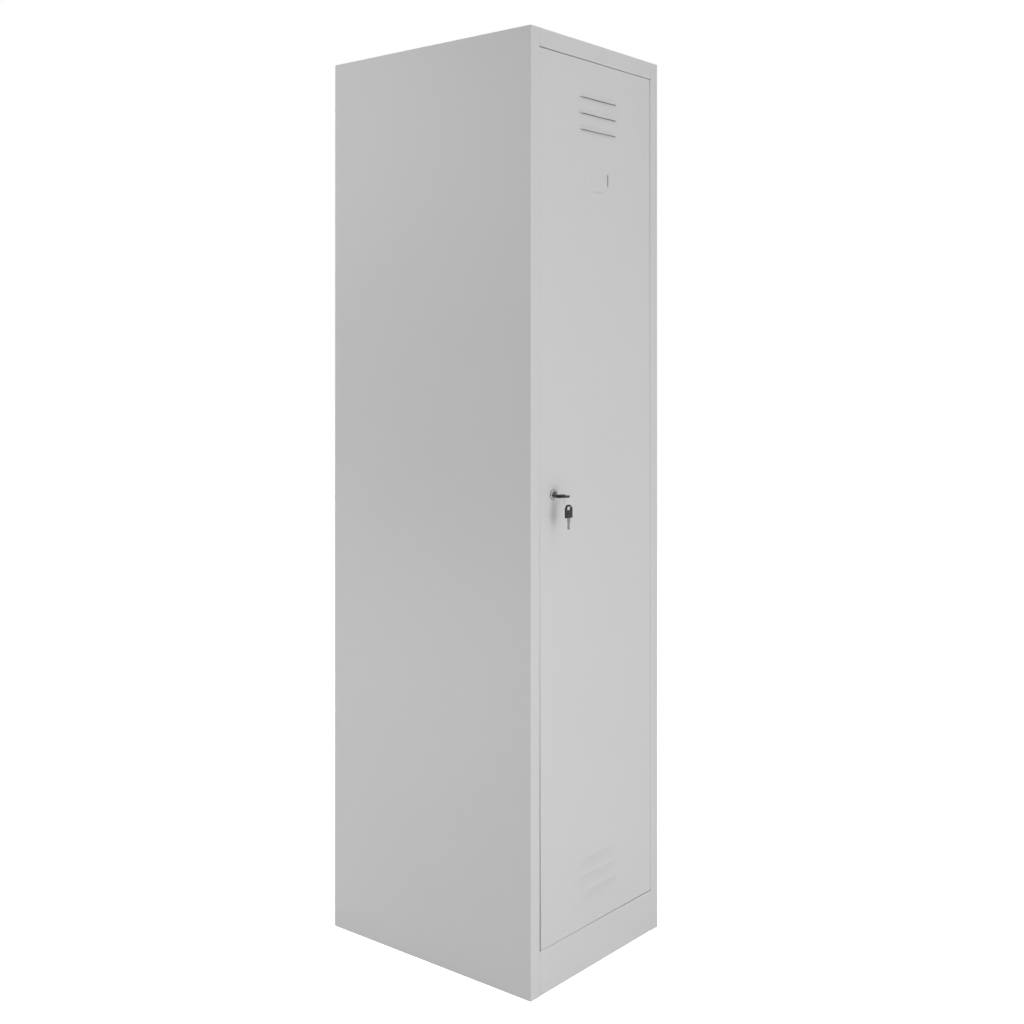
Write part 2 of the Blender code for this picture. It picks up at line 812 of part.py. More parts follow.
def door_stiffener(body):
    """Hat section spot welded behind the door skin."""
    skin = SHEET + JOINT_GAP
    crown = STIFFENER_CROWN / 2
    foot = crown + STIFFENER_SLOPE
    edge = foot + STIFFENER_FLANGE
    line = (
        (-edge, skin, 0),
        (-foot, skin, 0),
        (-crown, skin + STIFFENER_DEPTH, 0),
        (crown, skin + STIFFENER_DEPTH, 0),
        (foot, skin, 0),
        (edge, skin, 0),
    )
    bm = swept_sheet(line, UPWARD, (STIFFENER_FROM, STIFFENER_TO), -BACKWARD)
    attach(sheet_part("door_stiffener", bm), body)


def hinge_end(name, end, door, body):
    """Pin and pivot plate in the door, bush in the rail: end is 1 at the top, -1 below."""
    edge = DOOR_TOP if end > 0 else DOOR_BOTTOM
    place = (HINGE_X, HINGE_SETBACK, edge)
    turn = (0, 0, 0) if end > 0 else (math.pi, 0, 0)
    plate_top = -SHEET - JOINT_GAP
    head_top = plate_top - PIVOT_PLATE - JOINT_GAP
    bush_foot = DOOR_GAP - JOINT_GAP - BUSH_SHOULDER
    bush_top = bush_foot + BUSH_SHOULDER + BUSH_LENGTH
    pin_top = bush_top + PIN_PAST_BUSH

    bm = turned((
        (0, pin_top),
        (PIN_RADIUS, pin_top),
        (PIN_RADIUS, head_top),
        (PIN_HEAD_RADIUS, head_top),
        (PIN_HEAD_RADIUS, head_top - PIN_HEAD),
        (0, head_top - PIN_HEAD),
    ), SMALL_ROUND_STEPS)
    pin = part("hinge_pin_" + name, bm, bright_steel)
    smooth(pin)
    attach(pin, door, place, turn)

    bore = PIN_RADIUS + JOINT_GAP
    bm = turned((
        (bore, bush_top),
        (BUSH_RADIUS, bush_top),
        (BUSH_RADIUS, bush_foot + BUSH_SHOULDER),
        (BUSH_SHOULDER_RADIUS, bush_foot + BUSH_SHOULDER),
        (BUSH_SHOULDER_RADIUS, bush_foot),
        (bore, bush_foot),
    ), SMALL_ROUND_STEPS)
    bush = part("hinge_bush_" + name, bm, grey_nylon)
    smooth(bush)
    attach(bush, body, place, turn)

    wall = SHEET + JOINT_GAP
    edge_far = DOOR_SIDE - wall
    high = max(edge + end * plate_top, edge + end * (plate_top - PIVOT_PLATE))
    bm = box(
        (edge_far - PIVOT_PLATE_WIDTH, wall, high - PIVOT_PLATE),
        (edge_far, wall + PIVOT_PLATE_DEEP, high),
    )
    plate = part("pivot_plate_" + name, bm, powder_coat)
    hole = rod(bore, high - 2 * PIVOT_PLATE, high + PIVOT_PLATE, SMALL_ROUND_STEPS)
    bmesh.ops.translate(hole, vec=(HINGE_X, HINGE_SETBACK, 0), verts=hole.verts)
    combine(plate, cutter("pivot_hole_" + name, hole))
    attach(plate, door)


def door_buffer(name, height, body):
    """Rubber dome on the stop lip of the lock side, which the door closes on."""
    foot = JOINT_GAP - STOP_DEPTH
    face = -DOOR_DEPTH - JOINT_GAP
    edge = (foot + face) / 2
    bm = turned((
        (0, face),
        (BUFFER_RADIUS * 2 / 3, face),
        (BUFFER_RADIUS, edge),
        (BUFFER_RADIUS, foot),
        (0, foot),
    ), SMALL_ROUND_STEPS)
    buffer = part(name, bm, black_rubber)
    smooth(buffer)
    attach(buffer, body, (STOP_LIP / 2 - JAMB, 0, height), OUT_OF_DOOR)


def lock_housing(door):
    """Round bezel on the door and a barrel with two flats through it."""
    bore = PLUG_RADIUS + JOINT_GAP
    edge = arc((BEZEL_RADIUS - BEZEL_ROUND, BEZEL_FACE - BEZEL_ROUND), BEZEL_ROUND, QUARTER, 0)
    profile = [(bore, BEZEL_FACE)] + edge
    profile += [(BEZEL_RADIUS, JOINT_GAP), (BARREL_RADIUS, JOINT_GAP)]
    profile += [(BARREL_RADIUS, -BARREL_END), (bore, -BARREL_END)]
    housing = part("lock_housing", turned(profile), nickel)
    sides = []
    for side in (-1, 1):
        near = side * BARREL_FLATS / 2
        far = side * BEZEL_RADIUS
        low = (min(near, far), -BEZEL_RADIUS, -BARREL_END - SHEET)
        high = (max(near, far), BEZEL_RADIUS, JOINT_GAP)
        sides.append(box(low, high))
    combine(housing, cutter("barrel_flats", joined(sides)))
    smooth(housing)
    attach(housing, door, LOCK_PLACE, OUT_OF_DOOR)


def lock_nut(door):
    """Hexagon nut behind the door skin."""
    high = -SHEET - JOINT_GAP
    low = high - NUT_THICK
    corner_radius = NUT_ACROSS / math.sqrt(3)
    nut = part("lock_nut", rod(corner_radius, low, high, 6), bright_steel)
    combine(nut, cutter("nut_hole", rod(BARREL_RADIUS + JOINT_GAP, low - NUT_THICK, high + NUT_THICK)))
    attach(nut, door, LOCK_PLACE, OUT_OF_DOOR)


def lock_plug(body):
    """Turning barrel, its keyway a little below the middle, with a square tang for the cam."""
    face = BEZEL_FACE - JOINT_GAP
    tail = -CAM_FRONT + JOINT_GAP
    tang_end = -CAM_FRONT - CAM_THICK + TANG_SHORT
    bm = turned(((0, face), (PLUG_RADIUS, face), (PLUG_RADIUS, tail), (0, tail)))
    plug = part("lock_plug", bm, nickel)
    half = TANG / 2
    tang = box((-half, -half, tang_end), (half, half, tail + TANG))
    combine(plug, cutter("plug_tang", tang), "UNION")
    wide = BLADE_WIDTH / 2 + JOINT_GAP
    tall = BLADE_THICK / 2 + JOINT_GAP
    slot_end = BOW_START - BLADE_LENGTH - JOINT_GAP
    keyway_low = (-wide, -tall - KEYWAY_DROP, slot_end)
    keyway = box(keyway_low, (wide, tall - KEYWAY_DROP, face + BLADE_THICK))
    screw_end = tang_end + SCREW_LENGTH + JOINT_GAP
    bore = rod(SCREW_RADIUS + JOINT_GAP, tang_end - SCREW_HEAD, screw_end, SMALL_ROUND_STEPS)
    combine(plug, cutter("plug_cuts", joined([keyway, bore])))
    smooth(plug)
    attach(plug, body, LOCK_PLACE, OUT_OF_DOOR)


def lock_cam(body):
    """Flat cam on the plug's tang; it points down while the lock is open."""
    half = CAM_WIDTH / 2
    tip = (0, half - CAM_LENGTH)
    outline = arc((0, 0), half, 0, math.pi, 2 * CURVE_FACETS)
    outline += arc(tip, half, math.pi, 2 * math.pi, 2 * CURVE_FACETS)
    seat = TANG / 2 + JOINT_GAP
    hole = [(seat, seat), (-seat, seat), (-seat, -seat), (seat, -seat)]
    cam = part("lock_cam", flat_plate([outline, hole], CAM_THICK), bright_steel)
    middle = (LOCK_X, CAM_FRONT + CAM_THICK / 2, LOCK_HEIGHT)
    attach(cam, body, middle, OUT_OF_DOOR)


def cam_screw(body):
    """Screw that holds the cam on the tang."""
    head = -CAM_FRONT - CAM_THICK - JOINT_GAP
    end = -CAM_FRONT - CAM_THICK + TANG_SHORT + SCREW_LENGTH
    bm = turned((
        (0, end),
        (SCREW_RADIUS, end),
        (SCREW_RADIUS, head),
        (SCREW_HEAD_RADIUS, head),
        (SCREW_HEAD_RADIUS, head - SCREW_HEAD / 2),
        (SCREW_HEAD_RADIUS * 2 / 3, head - SCREW_HEAD),
        (0, head - SCREW_HEAD),
    ), SMALL_ROUND_STEPS)
    screw = part("cam_screw", bm, bright_steel)
    smooth(screw)
    attach(screw, body, LOCK_PLACE, OUT_OF_DOOR)


def key_blade(name):
    """Steel blade, flat in the xy plane; y runs into the lock from the door's face."""
    half = BLADE_WIDTH / 2
    neck = NECK_WIDTH / 2
    tip = BLADE_LENGTH - BOW_START
    shoulder = NECK_LENGTH - BOW_START
    tang_end = -BOW_START - KEY_TANG
    outline = [(-half, tip - BLADE_TIP), (-half, shoulder), (-neck, shoulder)]
    outline += [(-neck, tang_end), (neck, tang_end), (neck, shoulder), (half, shoulder)]
    first_cut = tip - BLADE_TIP - KEY_CUTS * KEY_CUT_PITCH
    for number in range(KEY_CUTS):
        start = first_cut + number * KEY_CUT_PITCH
        depth = KEY_CUT * (1 + number % 2) / 2
        outline += [(half, start), (half - depth, start + KEY_CUT_PITCH / 2)]
    outline += [(half, tip - BLADE_TIP), (half - BLADE_TIP, tip), (BLADE_TIP - half, tip)]
    return part(name, flat_plate([outline], BLADE_THICK), bright_steel)


def key_bow(name):
    """Plastic bow with an arched end, a slot for the ring and raised grip faces."""
    half = BOW_WIDTH / 2
    outline = arc((half - BOW_CORNER, -BOW_START - BOW_CORNER), BOW_CORNER, 0, QUARTER)
    outline += arc((BOW_CORNER - half, -BOW_START - BOW_CORNER), BOW_CORNER, QUARTER, math.pi)
    outline += arc((0, half - BOW_END), half, math.pi, 2 * math.pi, 3 * CURVE_FACETS)
    slot = BOW_HOLE_WIDTH / 2
    hole = rounded_rectangle((-slot, -HOLE_END), (slot, BOW_HOLE_LENGTH - HOLE_END), BOW_HOLE_ROUND)
    bow = part(name, flat_plate([outline, hole], BOW_THICK), black_plastic)

    grip_start = -BOW_START - GRIP_MARGIN
    low = (-GRIP_WIDTH / 2, grip_start - GRIP_LENGTH)
    grip = flat_plate([rounded_rectangle(low, (GRIP_WIDTH / 2, grip_start), BOW_CORNER)], GRIP_THICK)
    combine(bow, cutter(name + "_grip", grip), "UNION")

    wide = NECK_WIDTH / 2 + JOINT_GAP
    tall = BLADE_THICK / 2 + JOINT_GAP
    pocket_end = -BOW_START - KEY_TANG - JOINT_GAP
    pocket = box((-wide, pocket_end, -tall), (wide, -BOW_START + BOW_CORNER, tall))
    combine(bow, cutter(name + "_pocket", pocket))
    return bow


def key_in_lock(body):
    """Key in the lock, its bow lying flat."""
    for piece in (key_blade("key_blade"), key_bow("key_bow")):
        attach(piece, body, KEY_PLACE)


def spare_key(body):
    """Second key, hanging face to the front from the bottom of the ring."""
    place = (LOCK_X, -BOW_END, KEY_HEIGHT - SPARE_SEAT - HOLE_END)
    for piece in (key_blade("spare_key_blade"), key_bow("spare_key_bow")):
        attach(piece, body, place, (-QUARTER, 0, 0))


def key_ring(body):
    """Steel ring through both bows, square to the door."""
    profile = arc((RING_RADIUS, 0), RING_WIRE / 2, QUARTER, -3 * QUARTER, WIRE_SIDES)[:-1]
    ring = part("key_ring", turned(profile, RING_STEPS), bright_steel)
    smooth(ring)
    attach(ring, body, (LOCK_X, -BOW_END, KEY_HEIGHT - RING_DROP), (0, QUARTER, 0))


CABINET = anchor("cabinet_frame", (0, FRONT_Y, 0))
LOCK_PLACE = (LOCK_X, 0, LOCK_HEIGHT)
KEY_HEIGHT = LOCK_HEIGHT - KEYWAY_DROP
KEY_PLACE = (LOCK_X, 0, KEY_HEIGHT)
RING_TOP = KEY_HEIGHT - RING_DROP + RING_RADIUS
RING_FOOT = KEY_HEIGHT - RING_DROP - RING_RADIUS

side_panel("side_panel_left", -1, CABINET)
side_panel("side_panel_right", 1, CABINET)
header_rail(CABINET)
plinth(CABINET)
top_panel(CABINET)
bottom_panel(CABINET)
back_panel(CABINET)
hat_shelf(CABINET)
shelf_rest("shelf_rest_left", -1, CABINET)
shelf_rest("shelf_rest_right", 1, CABINET)
rail_socket("rail_socket_left", -1, CABINET)
rail_socket("rail_socket_right", 1, CABINET)
clothes_rail(CABINET)
for index in range(HOOK_COUNT):
    coat_hook(f"coat_hook_{index + 1}", index)
door_buffer("door_buffer_upper", BUFFER_UPPER, CABINET)
door_buffer("door_buffer_lower", BUFFER_LOWER, CABINET)

DOOR = anchor("door_axis", (HINGE_X, HINGE_SETBACK, 0), CABINET)
door_panel(DOOR)
door_stiffener(DOOR)
hinge_end("upper", 1, DOOR, CABINET)
hinge_end("lower", -1, DOOR, CABINET)
lock_housing(DOOR)
lock_nut(DOOR)

PLUG = anchor("lock_axis", LOCK_PLACE, DOOR)
lock_plug(PLUG)
lock_cam(PLUG)
cam_screw(PLUG)

KEY = anchor("key_axis", KEY_PLACE, PLUG)
key_in_lock(KEY)
RING = anchor("ring_axis", (LOCK_X, -BOW_END, RING_TOP), KEY)
key_ring(RING)
SPARE = anchor("spare_key_axis", (LOCK_X, -BOW_END, RING_FOOT), RING)
spare_key(SPARE)
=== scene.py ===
import json
import math

import bmesh
import bpy
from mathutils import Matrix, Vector


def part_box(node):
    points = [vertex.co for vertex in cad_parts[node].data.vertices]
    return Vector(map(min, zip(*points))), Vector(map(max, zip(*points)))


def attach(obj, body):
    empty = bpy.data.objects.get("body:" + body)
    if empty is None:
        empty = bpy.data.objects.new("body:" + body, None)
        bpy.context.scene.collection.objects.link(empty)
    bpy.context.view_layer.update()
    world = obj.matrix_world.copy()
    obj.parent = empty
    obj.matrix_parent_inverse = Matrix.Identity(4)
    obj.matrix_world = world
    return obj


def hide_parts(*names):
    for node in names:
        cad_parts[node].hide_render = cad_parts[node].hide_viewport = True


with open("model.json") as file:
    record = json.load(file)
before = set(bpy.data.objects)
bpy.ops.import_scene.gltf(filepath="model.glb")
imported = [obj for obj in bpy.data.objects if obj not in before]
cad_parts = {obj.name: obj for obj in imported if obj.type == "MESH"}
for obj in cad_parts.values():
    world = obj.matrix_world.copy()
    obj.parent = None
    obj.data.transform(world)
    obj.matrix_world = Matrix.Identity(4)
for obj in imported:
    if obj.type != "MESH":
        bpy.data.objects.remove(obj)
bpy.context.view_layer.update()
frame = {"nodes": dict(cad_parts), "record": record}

# Single door steel locker: finishes, close-up pieces, soft studio light and the camera.
# Metres, +Z up, the door faces -Y and the cabinet stands on z = 0.

# Turns of round shapes, which are made along z
QUARTER = math.pi / 2
ALONG_X = (0, QUARTER, 0)
ALONG_Y = (QUARTER, 0, 0)
ALONG_Z = (0, 0, 0)

# What counts as facing along an axis, as the same place, as on a cut and as the same point
LEVEL = 0.999
NEAR = 0.0001
ON_CUT = 1e-7
SAME_POINT = 1e-6

# Angles over which an edge is shaded sharp, is rounded and is a fold of the sheet
SHADE_ANGLE = math.radians(32)
ROUND_ANGLE = math.radians(40)
FOLD_ANGLE = 1.0

# Sides of round shapes, from fine wire to wide tubes
WIRE_SIDES = 16
HOLE_SIDES = 24
MARK_SIDES = 32
ROUND_SIDES = 48
FINE_SIDES = 64
TUBE_SIDES = 96

# The door hangs as in the photo: in fine gaps, its free side lower, its lower free corner out
# and the rest of its free edge rolled in; its hinge edge is as near the pins as the jamb asks
HANG_TURN = 0.001
HANG_DROP = 0.0001
HANG_GROW = 0.0005
HANG_TWIST = 0.0012
HANG_TWIST_POWER = 1.5
HANG_ROLL = 0.0009
HANG_ROLL_WIDTH = 0.025
HANG_ROWS = 12
HANG_SWING = 0.0101

# Studio
WHITE = (1, 1, 1, 1)
FLOOR_GREY = (0.9, 0.9, 0.9, 1)
FLOOR_GLOW = 0.85
FLOOR_MARGIN = 30
FLOOR_INSET = 0.004
WORLD_LIGHT = 0.19
WORLD_SEEN = 1.0

# Camera: its place is counted from the foot of the cabinet's left front corner
CAMERA_LENS = 46.472
CAMERA_SENSOR = 36
CAMERA_SHIFT = -0.14725
CAMERA_SIGHT = 200
CAMERA_PLACE = Vector((-1.9056, -1.5177, 1.1691))
CAMERA_VIEW = Vector((0.77327, 0.63408, 0.00395))

# Sizes repeated from the part's drawing
SHEET = 0.0008
BEND = 0.0014
GAP = 0.0003
DOOR_RETURN = 0.014
HOOD_LENGTH = 0.129
HOOD_RISE = 0.012
HOOD_REACH = 0.0036
HOOD_PITCH = 0.0315
TOP_HOOD_BELOW_TOP = 0.1085
LOW_HOOD_ABOVE_FLOOR = 0.143
CARD_LIP_RISE = 0.005
CARD_LIP_REACH = 0.0018
CARD_SIDE_LENGTH = 0.029
CARD_FOOT_LENGTH = 0.036
CARD_WIDTH = 0.0745
CARD_SIDE_BELOW_TOP = 0.263
CARD_FOOT_BELOW_TOP = 0.290
PRESS_SINK = 0.0002
PRESS_DEPTH = 0.005
PIN_HOLE = 0.0023
BEZEL_RADIUS = 0.01025
BEZEL_FACE = 0.0031
BARREL_RADIUS = 0.009
BARREL_FLATS = 0.0155
PLUG_RADIUS = 0.0062
KEYWAY_DROP = 0.002
BLADE_THICK = 0.002
BLADE_LENGTH = 0.022
NECK_WIDTH = 0.0074
NECK_LENGTH = 0.0065
KEY_TANG = 0.0065
BOW_START = 0.011
BOW_END = 0.036
BOW_WIDTH = 0.020
BOW_BRIDGE = 0.0035
GRIP_THICK = 0.0058
RING_RADIUS = 0.011
RING_WIRE = 0.0012
BEZEL_ROUND = 0.0009
CAM_FRONT = 0.0257
TANG = 0.006
SCREW_RADIUS = 0.0015
SCREW_HEAD_RADIUS = 0.0045
SCREW_HEAD = 0.002
SCREW_LENGTH = 0.006
BOW_CORNER = 0.002
BOW_HOLE_LENGTH = 0.0071
BOW_HOLE_ROUND = 0.0025
GRIP_MARGIN = 0.0012
GRIP_LENGTH = 0.0115
RAIL_RADIUS = 0.011
RAIL_WALL = 0.0015
SOCKET_RADIUS = 0.022
SOCKET_BASE = 0.002
SOCKET_WALL = 0.003
SOCKET_DEEP = 0.012
HOOK_WALL = 0.003
HOOK_BAND = 0.012
HOOK_WIRE_RADIUS = 0.0025
HOOK_DROP = 0.034
HOOK_CURVE = 0.014
HOOK_SWEEP = math.radians(205)
HOOK_TIP_RADIUS = 0.0042

# Sizes that differ a little from the drawing, to look as in the photo
PRESS_DROP = 0.00025
BLADE_WIDTH = 0.005
KEY_CUT = 0.0018
BOW_THICK = 0.0034
BOW_HOLE_WIDTH = 0.012

# Slope of the blisters: in rings, partly straight, up to a small flat crown
PRESS_STEPS = 9
PRESS_STRAIGHT = 0.6
PRESS_DRAWN = 0.96
FOLD_STEPS = 4

# Dish of the bezel, edge and ring groove of the plug
BEZEL_STEPS = 5
BEZEL_LIP = 0.0011
BEZEL_DISH = 0.0005
PLUG_ROUND = 0.0004
PLUG_STEPS = 3
PLUG_RIM = 0.0007
PLUG_GROOVE = 0.0002
PLUG_GROOVE_FLOOR = 0.0003

# Cross head screws, as shares of the head's height and radius
SCREW_DOME = 0.55
SCREW_DOME_STEPS = 6
CROSS_ARM = 0.47
CROSS_SLIT = 0.1
CROSS_FLOOR = 0.35
CROSS_TOP = 1.4
CUP_SCREW_RADIUS = 0.003
CUP_SCREW_HEAD = 0.0014
CUP_SCREW_SHANK = 0.0015

# Key: rounded tip, cuts as shares of the deepest one, milled grooves by face and offset
TIP_ROUND = 0.0024
TIP_STEPS = 3
CUT_SHARES = (0.55, 1.0, 0.85, 0.7)
CUT_SIDE = 0.004
CUT_START = 0.0029
CUT_PITCH = 0.0026
GROOVES = ((1, -0.0009), (-1, 0.0004))
GROOVE_HALF = 0.0006
GROOVE_FLOOR = 0.0006
GROOVE_START = 0.0008
GROOVE_PAST_TIP = 0.002
BLADE_EDGE = 0.00015
BOW_STEPS = 6
GRIP_FRAME = 0.0013
GRIP_SLOPE = 0.0006
BOW_EDGE = 0.0005

# Split ring: winding, share of the pitch that is wire, and where its ends are
RING_PITCH = 0.0004
RING_TURNS = 1.97
RING_FILL = 0.49
RING_STEPS = 160
RING_ENDS = math.radians(200)

# Edges of mouldings, ball of the hooks, weld marks with their dish as shares of their size
MOULDED_EDGE = 0.0006
EDGE_STEPS = 3
BALL_RINGS = 20
WELD_RADIUS = 0.004
WELD_RISE = 0.0003
WELD_INSET = 0.011
WELD_ROWS = 15
WELD_RING = 0.25
WELD_DISH = 0.7
WELD_DISH_FLOOR = 0.2

# Sockets of the mix node when it mixes colours
MIX_SHARE, MIX_FIRST, MIX_SECOND, MIX_OUT = 0, 6, 7, 2


def corners_of(node):
    """Lowest and highest corner of a CAD node."""
    low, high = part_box(node)
    return Vector(low), Vector(high)


CASE_LOW, CASE_HIGH = corners_of("side_panel_left")
FRONT = CASE_LOW.y
HEIGHT = CASE_HIGH.z
LOCK_LOW, LOCK_HIGH = corners_of("lock_housing")
RAIL_SPOT = sum(corners_of("clothes_rail"), Vector()) / 2
LOCK = Vector(((LOCK_LOW.x + LOCK_HIGH.x) / 2, FRONT, (LOCK_LOW.z + LOCK_HIGH.z) / 2))
KEYWAY = LOCK - Vector((0, 0, KEYWAY_DROP))

# Name, place, target, size and power of each softbox
SOFTBOXES = (
    ("front_softbox", (-0.1, FRONT - 3.0, 1.25), (0, FRONT, 0.9), (1.0, 1.0), 27.5),
    ("high_front_softbox", (-0.6, FRONT - 2.6, 2.5), (0, FRONT, 1.6), (1.6, 0.8), 8),
    ("overhead_softbox", (-0.2, FRONT - 2.2, 4.5), (0, FRONT, 0.6), (2.4, 1.6), 35),
    ("floor_softbox", (-0.7, FRONT - 1.7, 0.2), (-0.1, FRONT, 0.25), (1.2, 0.35), 6.9),
    ("corner_softbox", (-1.6, FRONT - 2.4, 1.0), (-0.1, FRONT, 0.9), (2.4, 1.6), 4.5),
    ("high_left_softbox", (-2.2, 1.7, 2.2), (-0.2, 0.1, 1.5), (1.6, 1.2), 29.5),
    ("mid_left_softbox", (-2.2, 1.3, 0.3), (-0.2, 0.1, 0.4), (1.6, 0.5), 4.6),
    ("low_left_softbox", (-1.7, 0.9, 0.15), (-0.2, 0.15, 0.15), (1.4, 0.25), 3.3),
    ("right_softbox", (3.0, 0.6, 1.5), (0.2, 0.1, 0.9), (1.6, 1.6), 22),
    ("back_softbox", (0.5, 2.9, 3.4), (0, 0.2, 1.3), (1.6, 1.6), 30),
)


class Flow:
    """A socket's value inside a finish, so that sums read as sums."""

    def __init__(self, finish, socket):
        self.finish = finish
        self.socket = socket

    def maths(self, operation, first, second):
        return self.finish.node("ShaderNodeMath", {"operation": operation}, {0: first, 1: second})

    def __add__(self, other):
        return self.maths("ADD", self, other)

    def __radd__(self, other):
        return self.maths("ADD", other, self)

    def __sub__(self, other):
        return self.maths("SUBTRACT", self, other)

    def __rsub__(self, other):
        return self.maths("SUBTRACT", other, self)

    def __mul__(self, other):
        return self.maths("MULTIPLY", self, other)

    def __rmul__(self, other):
        return self.maths("MULTIPLY", other, self)


class Finish:
    """A material, or the world, that is being mixed from nodes."""

    def __init__(self, owner):
        self.owner = owner
        owner.use_nodes = True
        self.tree = owner.node_tree
        self.tree.nodes.clear()

    def node(self, kind, settings=None, sockets=None, out=0):
        made = self.tree.nodes.new(kind)
        for name, value in (settings or {}).items():
            setattr(made, name, value)
        for name, value in (sockets or {}).items():
            if isinstance(value, Flow):
                self.tree.links.new(value.socket, made.inputs[name])
            else:
                made.inputs[name].default_value = value
        return Flow(self, made.outputs[out]) if made.outputs else None

    def place(self, stretch=(1, 1, 1)):
        """Object coordinates, stretched along an axis for a drawn grain."""
        where = self.node("ShaderNodeTexCoord", out="Object")
        return self.node("ShaderNodeMapping", None, {"Vector": where, "Scale": stretch})

    def noise(self, where, size, detail):
        """Noise from 0 to 1 with patches about this many metres across."""
        sockets = {"Vector": where, "Scale": 1 / size, "Detail": detail, "Roughness": 0.5}
        return self.node("ShaderNodeTexNoise", None, sockets)

    def mix(self, share, first, second):
        settings = {"data_type": "RGBA", "clamp_factor": True}
        sockets = {MIX_SHARE: share, MIX_FIRST: (*first, 1), MIX_SECOND: (*second, 1)}
        return self.node("ShaderNodeMix", settings, sockets, MIX_OUT)

    def bump(self, height, distance, strength):
        sockets = {"Height": height, "Distance": distance, "Strength": strength}
        return self.node("ShaderNodeBump", None, sockets)

    def done(self, **sockets):
        named = {name.replace("_", " "): value for name, value in sockets.items()}
        shader = self.node("ShaderNodeBsdfPrincipled", None, named)
        self.node("ShaderNodeOutputMaterial", None, {"Surface": shader})
        return self.owner


def new_finish(name):
    return Finish(bpy.data.materials.new(name))


def grey(tone):
    return (tone, tone, tone)


def powder_coat():
    """Light grey satin powder coat: fine orange peel, faint speckle, slightly uneven tone."""
    paint = new_finish("grey_paint")
    where = paint.place()
    cloud = paint.noise(where, size=0.35, detail=2)
    peel = paint.noise(where, size=0.0022, detail=2)
    speck = paint.noise(where, size=0.0007, detail=1)
    share = 0.3 * cloud + 0.35 * peel + 0.35 * speck
    colour = paint.mix(share, grey(0.51), grey(0.58))
    return paint.done(
        Base_Color=colour,
        Specular_IOR_Level=0.35,
        Roughness=0.4 + 0.12 * peel,
        Normal=paint.bump(peel, distance=0.00012, strength=0.35),
    )


def nickel_plate():
    """Bright nickel on turned lock parts, a little cloudy and finely worn."""
    metal = new_finish("nickel_plate")
    where = metal.place()
    cloud = metal.noise(where, size=0.006, detail=3)
    fine = metal.noise(where, size=0.0003, detail=1)
    colour = metal.mix(cloud, (0.29, 0.29, 0.285), (0.4, 0.4, 0.395))
    return metal.done(
        Base_Color=colour,
        Metallic=1.0,
        Roughness=0.18 + 0.14 * fine,
        Normal=metal.bump(fine, distance=0.00002, strength=0.3),
    )


def plated_steel(name, dull, bright, matt=0.24):
    """Plated steel with a drawn grain and dull patches, between two shades of grey."""
    metal = new_finish(name)
    cloud = metal.noise(metal.place(), size=0.012, detail=3)
    grain = metal.noise(metal.place(stretch=(0.06, 1, 1)), size=0.0005, detail=2)
    colour = metal.mix(0.6 * cloud + 0.4 * grain, grey(dull), grey(bright))
    return metal.done(
        Base_Color=colour,
        Metallic=1.0,
        Roughness=matt + 0.18 * grain + 0.06 * cloud,
        Normal=metal.bump(grain, distance=0.00003, strength=0.35),
    )


def black_plastic():
    """Moulded black plastic with a fine spark grain."""
    plastic = new_finish("black_plastic")
    where = plastic.place()
    grain = plastic.noise(where, size=0.0004, detail=1)
    cloud = plastic.noise(where, size=0.008, detail=2)
    colour = plastic.mix(cloud, (0.009, 0.009, 0.01), (0.017, 0.017, 0.018))
    return plastic.done(
        Base_Color=colour,
        Specular_IOR_Level=0.32,
        Roughness=0.38 + 0.16 * grain,
        Normal=plastic.bump(grain, distance=0.00006, strength=0.5),
    )


def grey_nylon():
    """Moulded nylon, slightly waxy and mottled."""
    nylon = new_finish("grey_nylon")
    cloud = nylon.noise(nylon.place(), size=0.004, detail=2)
    colour = nylon.mix(cloud, grey(0.26), (0.31, 0.31, 0.305))
    return nylon.done(Base_Color=colour, Roughness=0.42 + 0.12 * cloud)


def black_rubber():
    """Soft dull rubber with a dusty bloom."""
    rubber = new_finish("black_rubber")
    bloom = rubber.noise(rubber.place(), size=0.003, detail=3)
    colour = rubber.mix(bloom, grey(0.016), grey(0.034))
    return rubber.done(
        Base_Color=colour,
        Roughness=0.7 + 0.2 * bloom,
        Normal=rubber.bump(bloom, distance=0.00008, strength=0.4),
    )


FINISHES = {
    "grey_paint": powder_coat(),
    "nickel_plate": nickel_plate(),
    "bright_steel": plated_steel("bright_steel", 0.42, 0.56),
    "black_plastic": black_plastic(),
    "grey_nylon": grey_nylon(),
    "black_rubber": black_rubber(),
}
KEY_STEEL = plated_steel("key_steel", 0.16, 0.27)
# Plug face: nickel painted very dark, a painted shade that stands for the shadow of a deep recess
# in the bezel
PLUG_PAINTED_SHADE = plated_steel("plug_painted_shade", 0.07, 0.14)
RING_STEEL = plated_steel("ring_steel", 0.5, 0.6, matt=0.5)


def paint_frame():
    """Gives every CAD node the finish of its slot."""
    for entry in frame["record"]["subparts"]:
        materials = frame["nodes"][entry["node"]].data.materials
        materials.clear()
        materials.append(FINISHES[entry["material_slot"]])


def open_edit():
    bpy.ops.object.mode_set(mode="EDIT")


def close_edit():
    bpy.ops.object.mode_set(mode="OBJECT")


def begin(add, size_along=(1, 1, 1), **settings):
    """Adds a primitive with nothing else selected and opens it for editing."""
    bpy.ops.object.select_all(action="DESELECT")
    add(**settings)
    bpy.context.object.scale = size_along
    bpy.ops.object.transform_apply(location=True, rotation=True, scale=True)
    open_edit()
    return bpy.context.object


def cube(size, place):
    """Block of this size round a place, opened for editing."""
    return begin(bpy.ops.mesh.primitive_cube_add, size, size=1, location=place)


def drum(sides, radius, depth, place=(0, 0, 0), turn=ALONG_Y):
    """Round block with its middle at a place, opened for editing."""
    return begin(
        bpy.ops.mesh.primitive_cylinder_add, vertices=sides, radius=radius, depth=depth,
        location=place, rotation=turn,
    )


def middle(item):
    """Middle of a point, an edge or a face."""
    points = getattr(item, "verts", [item])
    return sum((point.co for point in points), Vector()) / len(points)


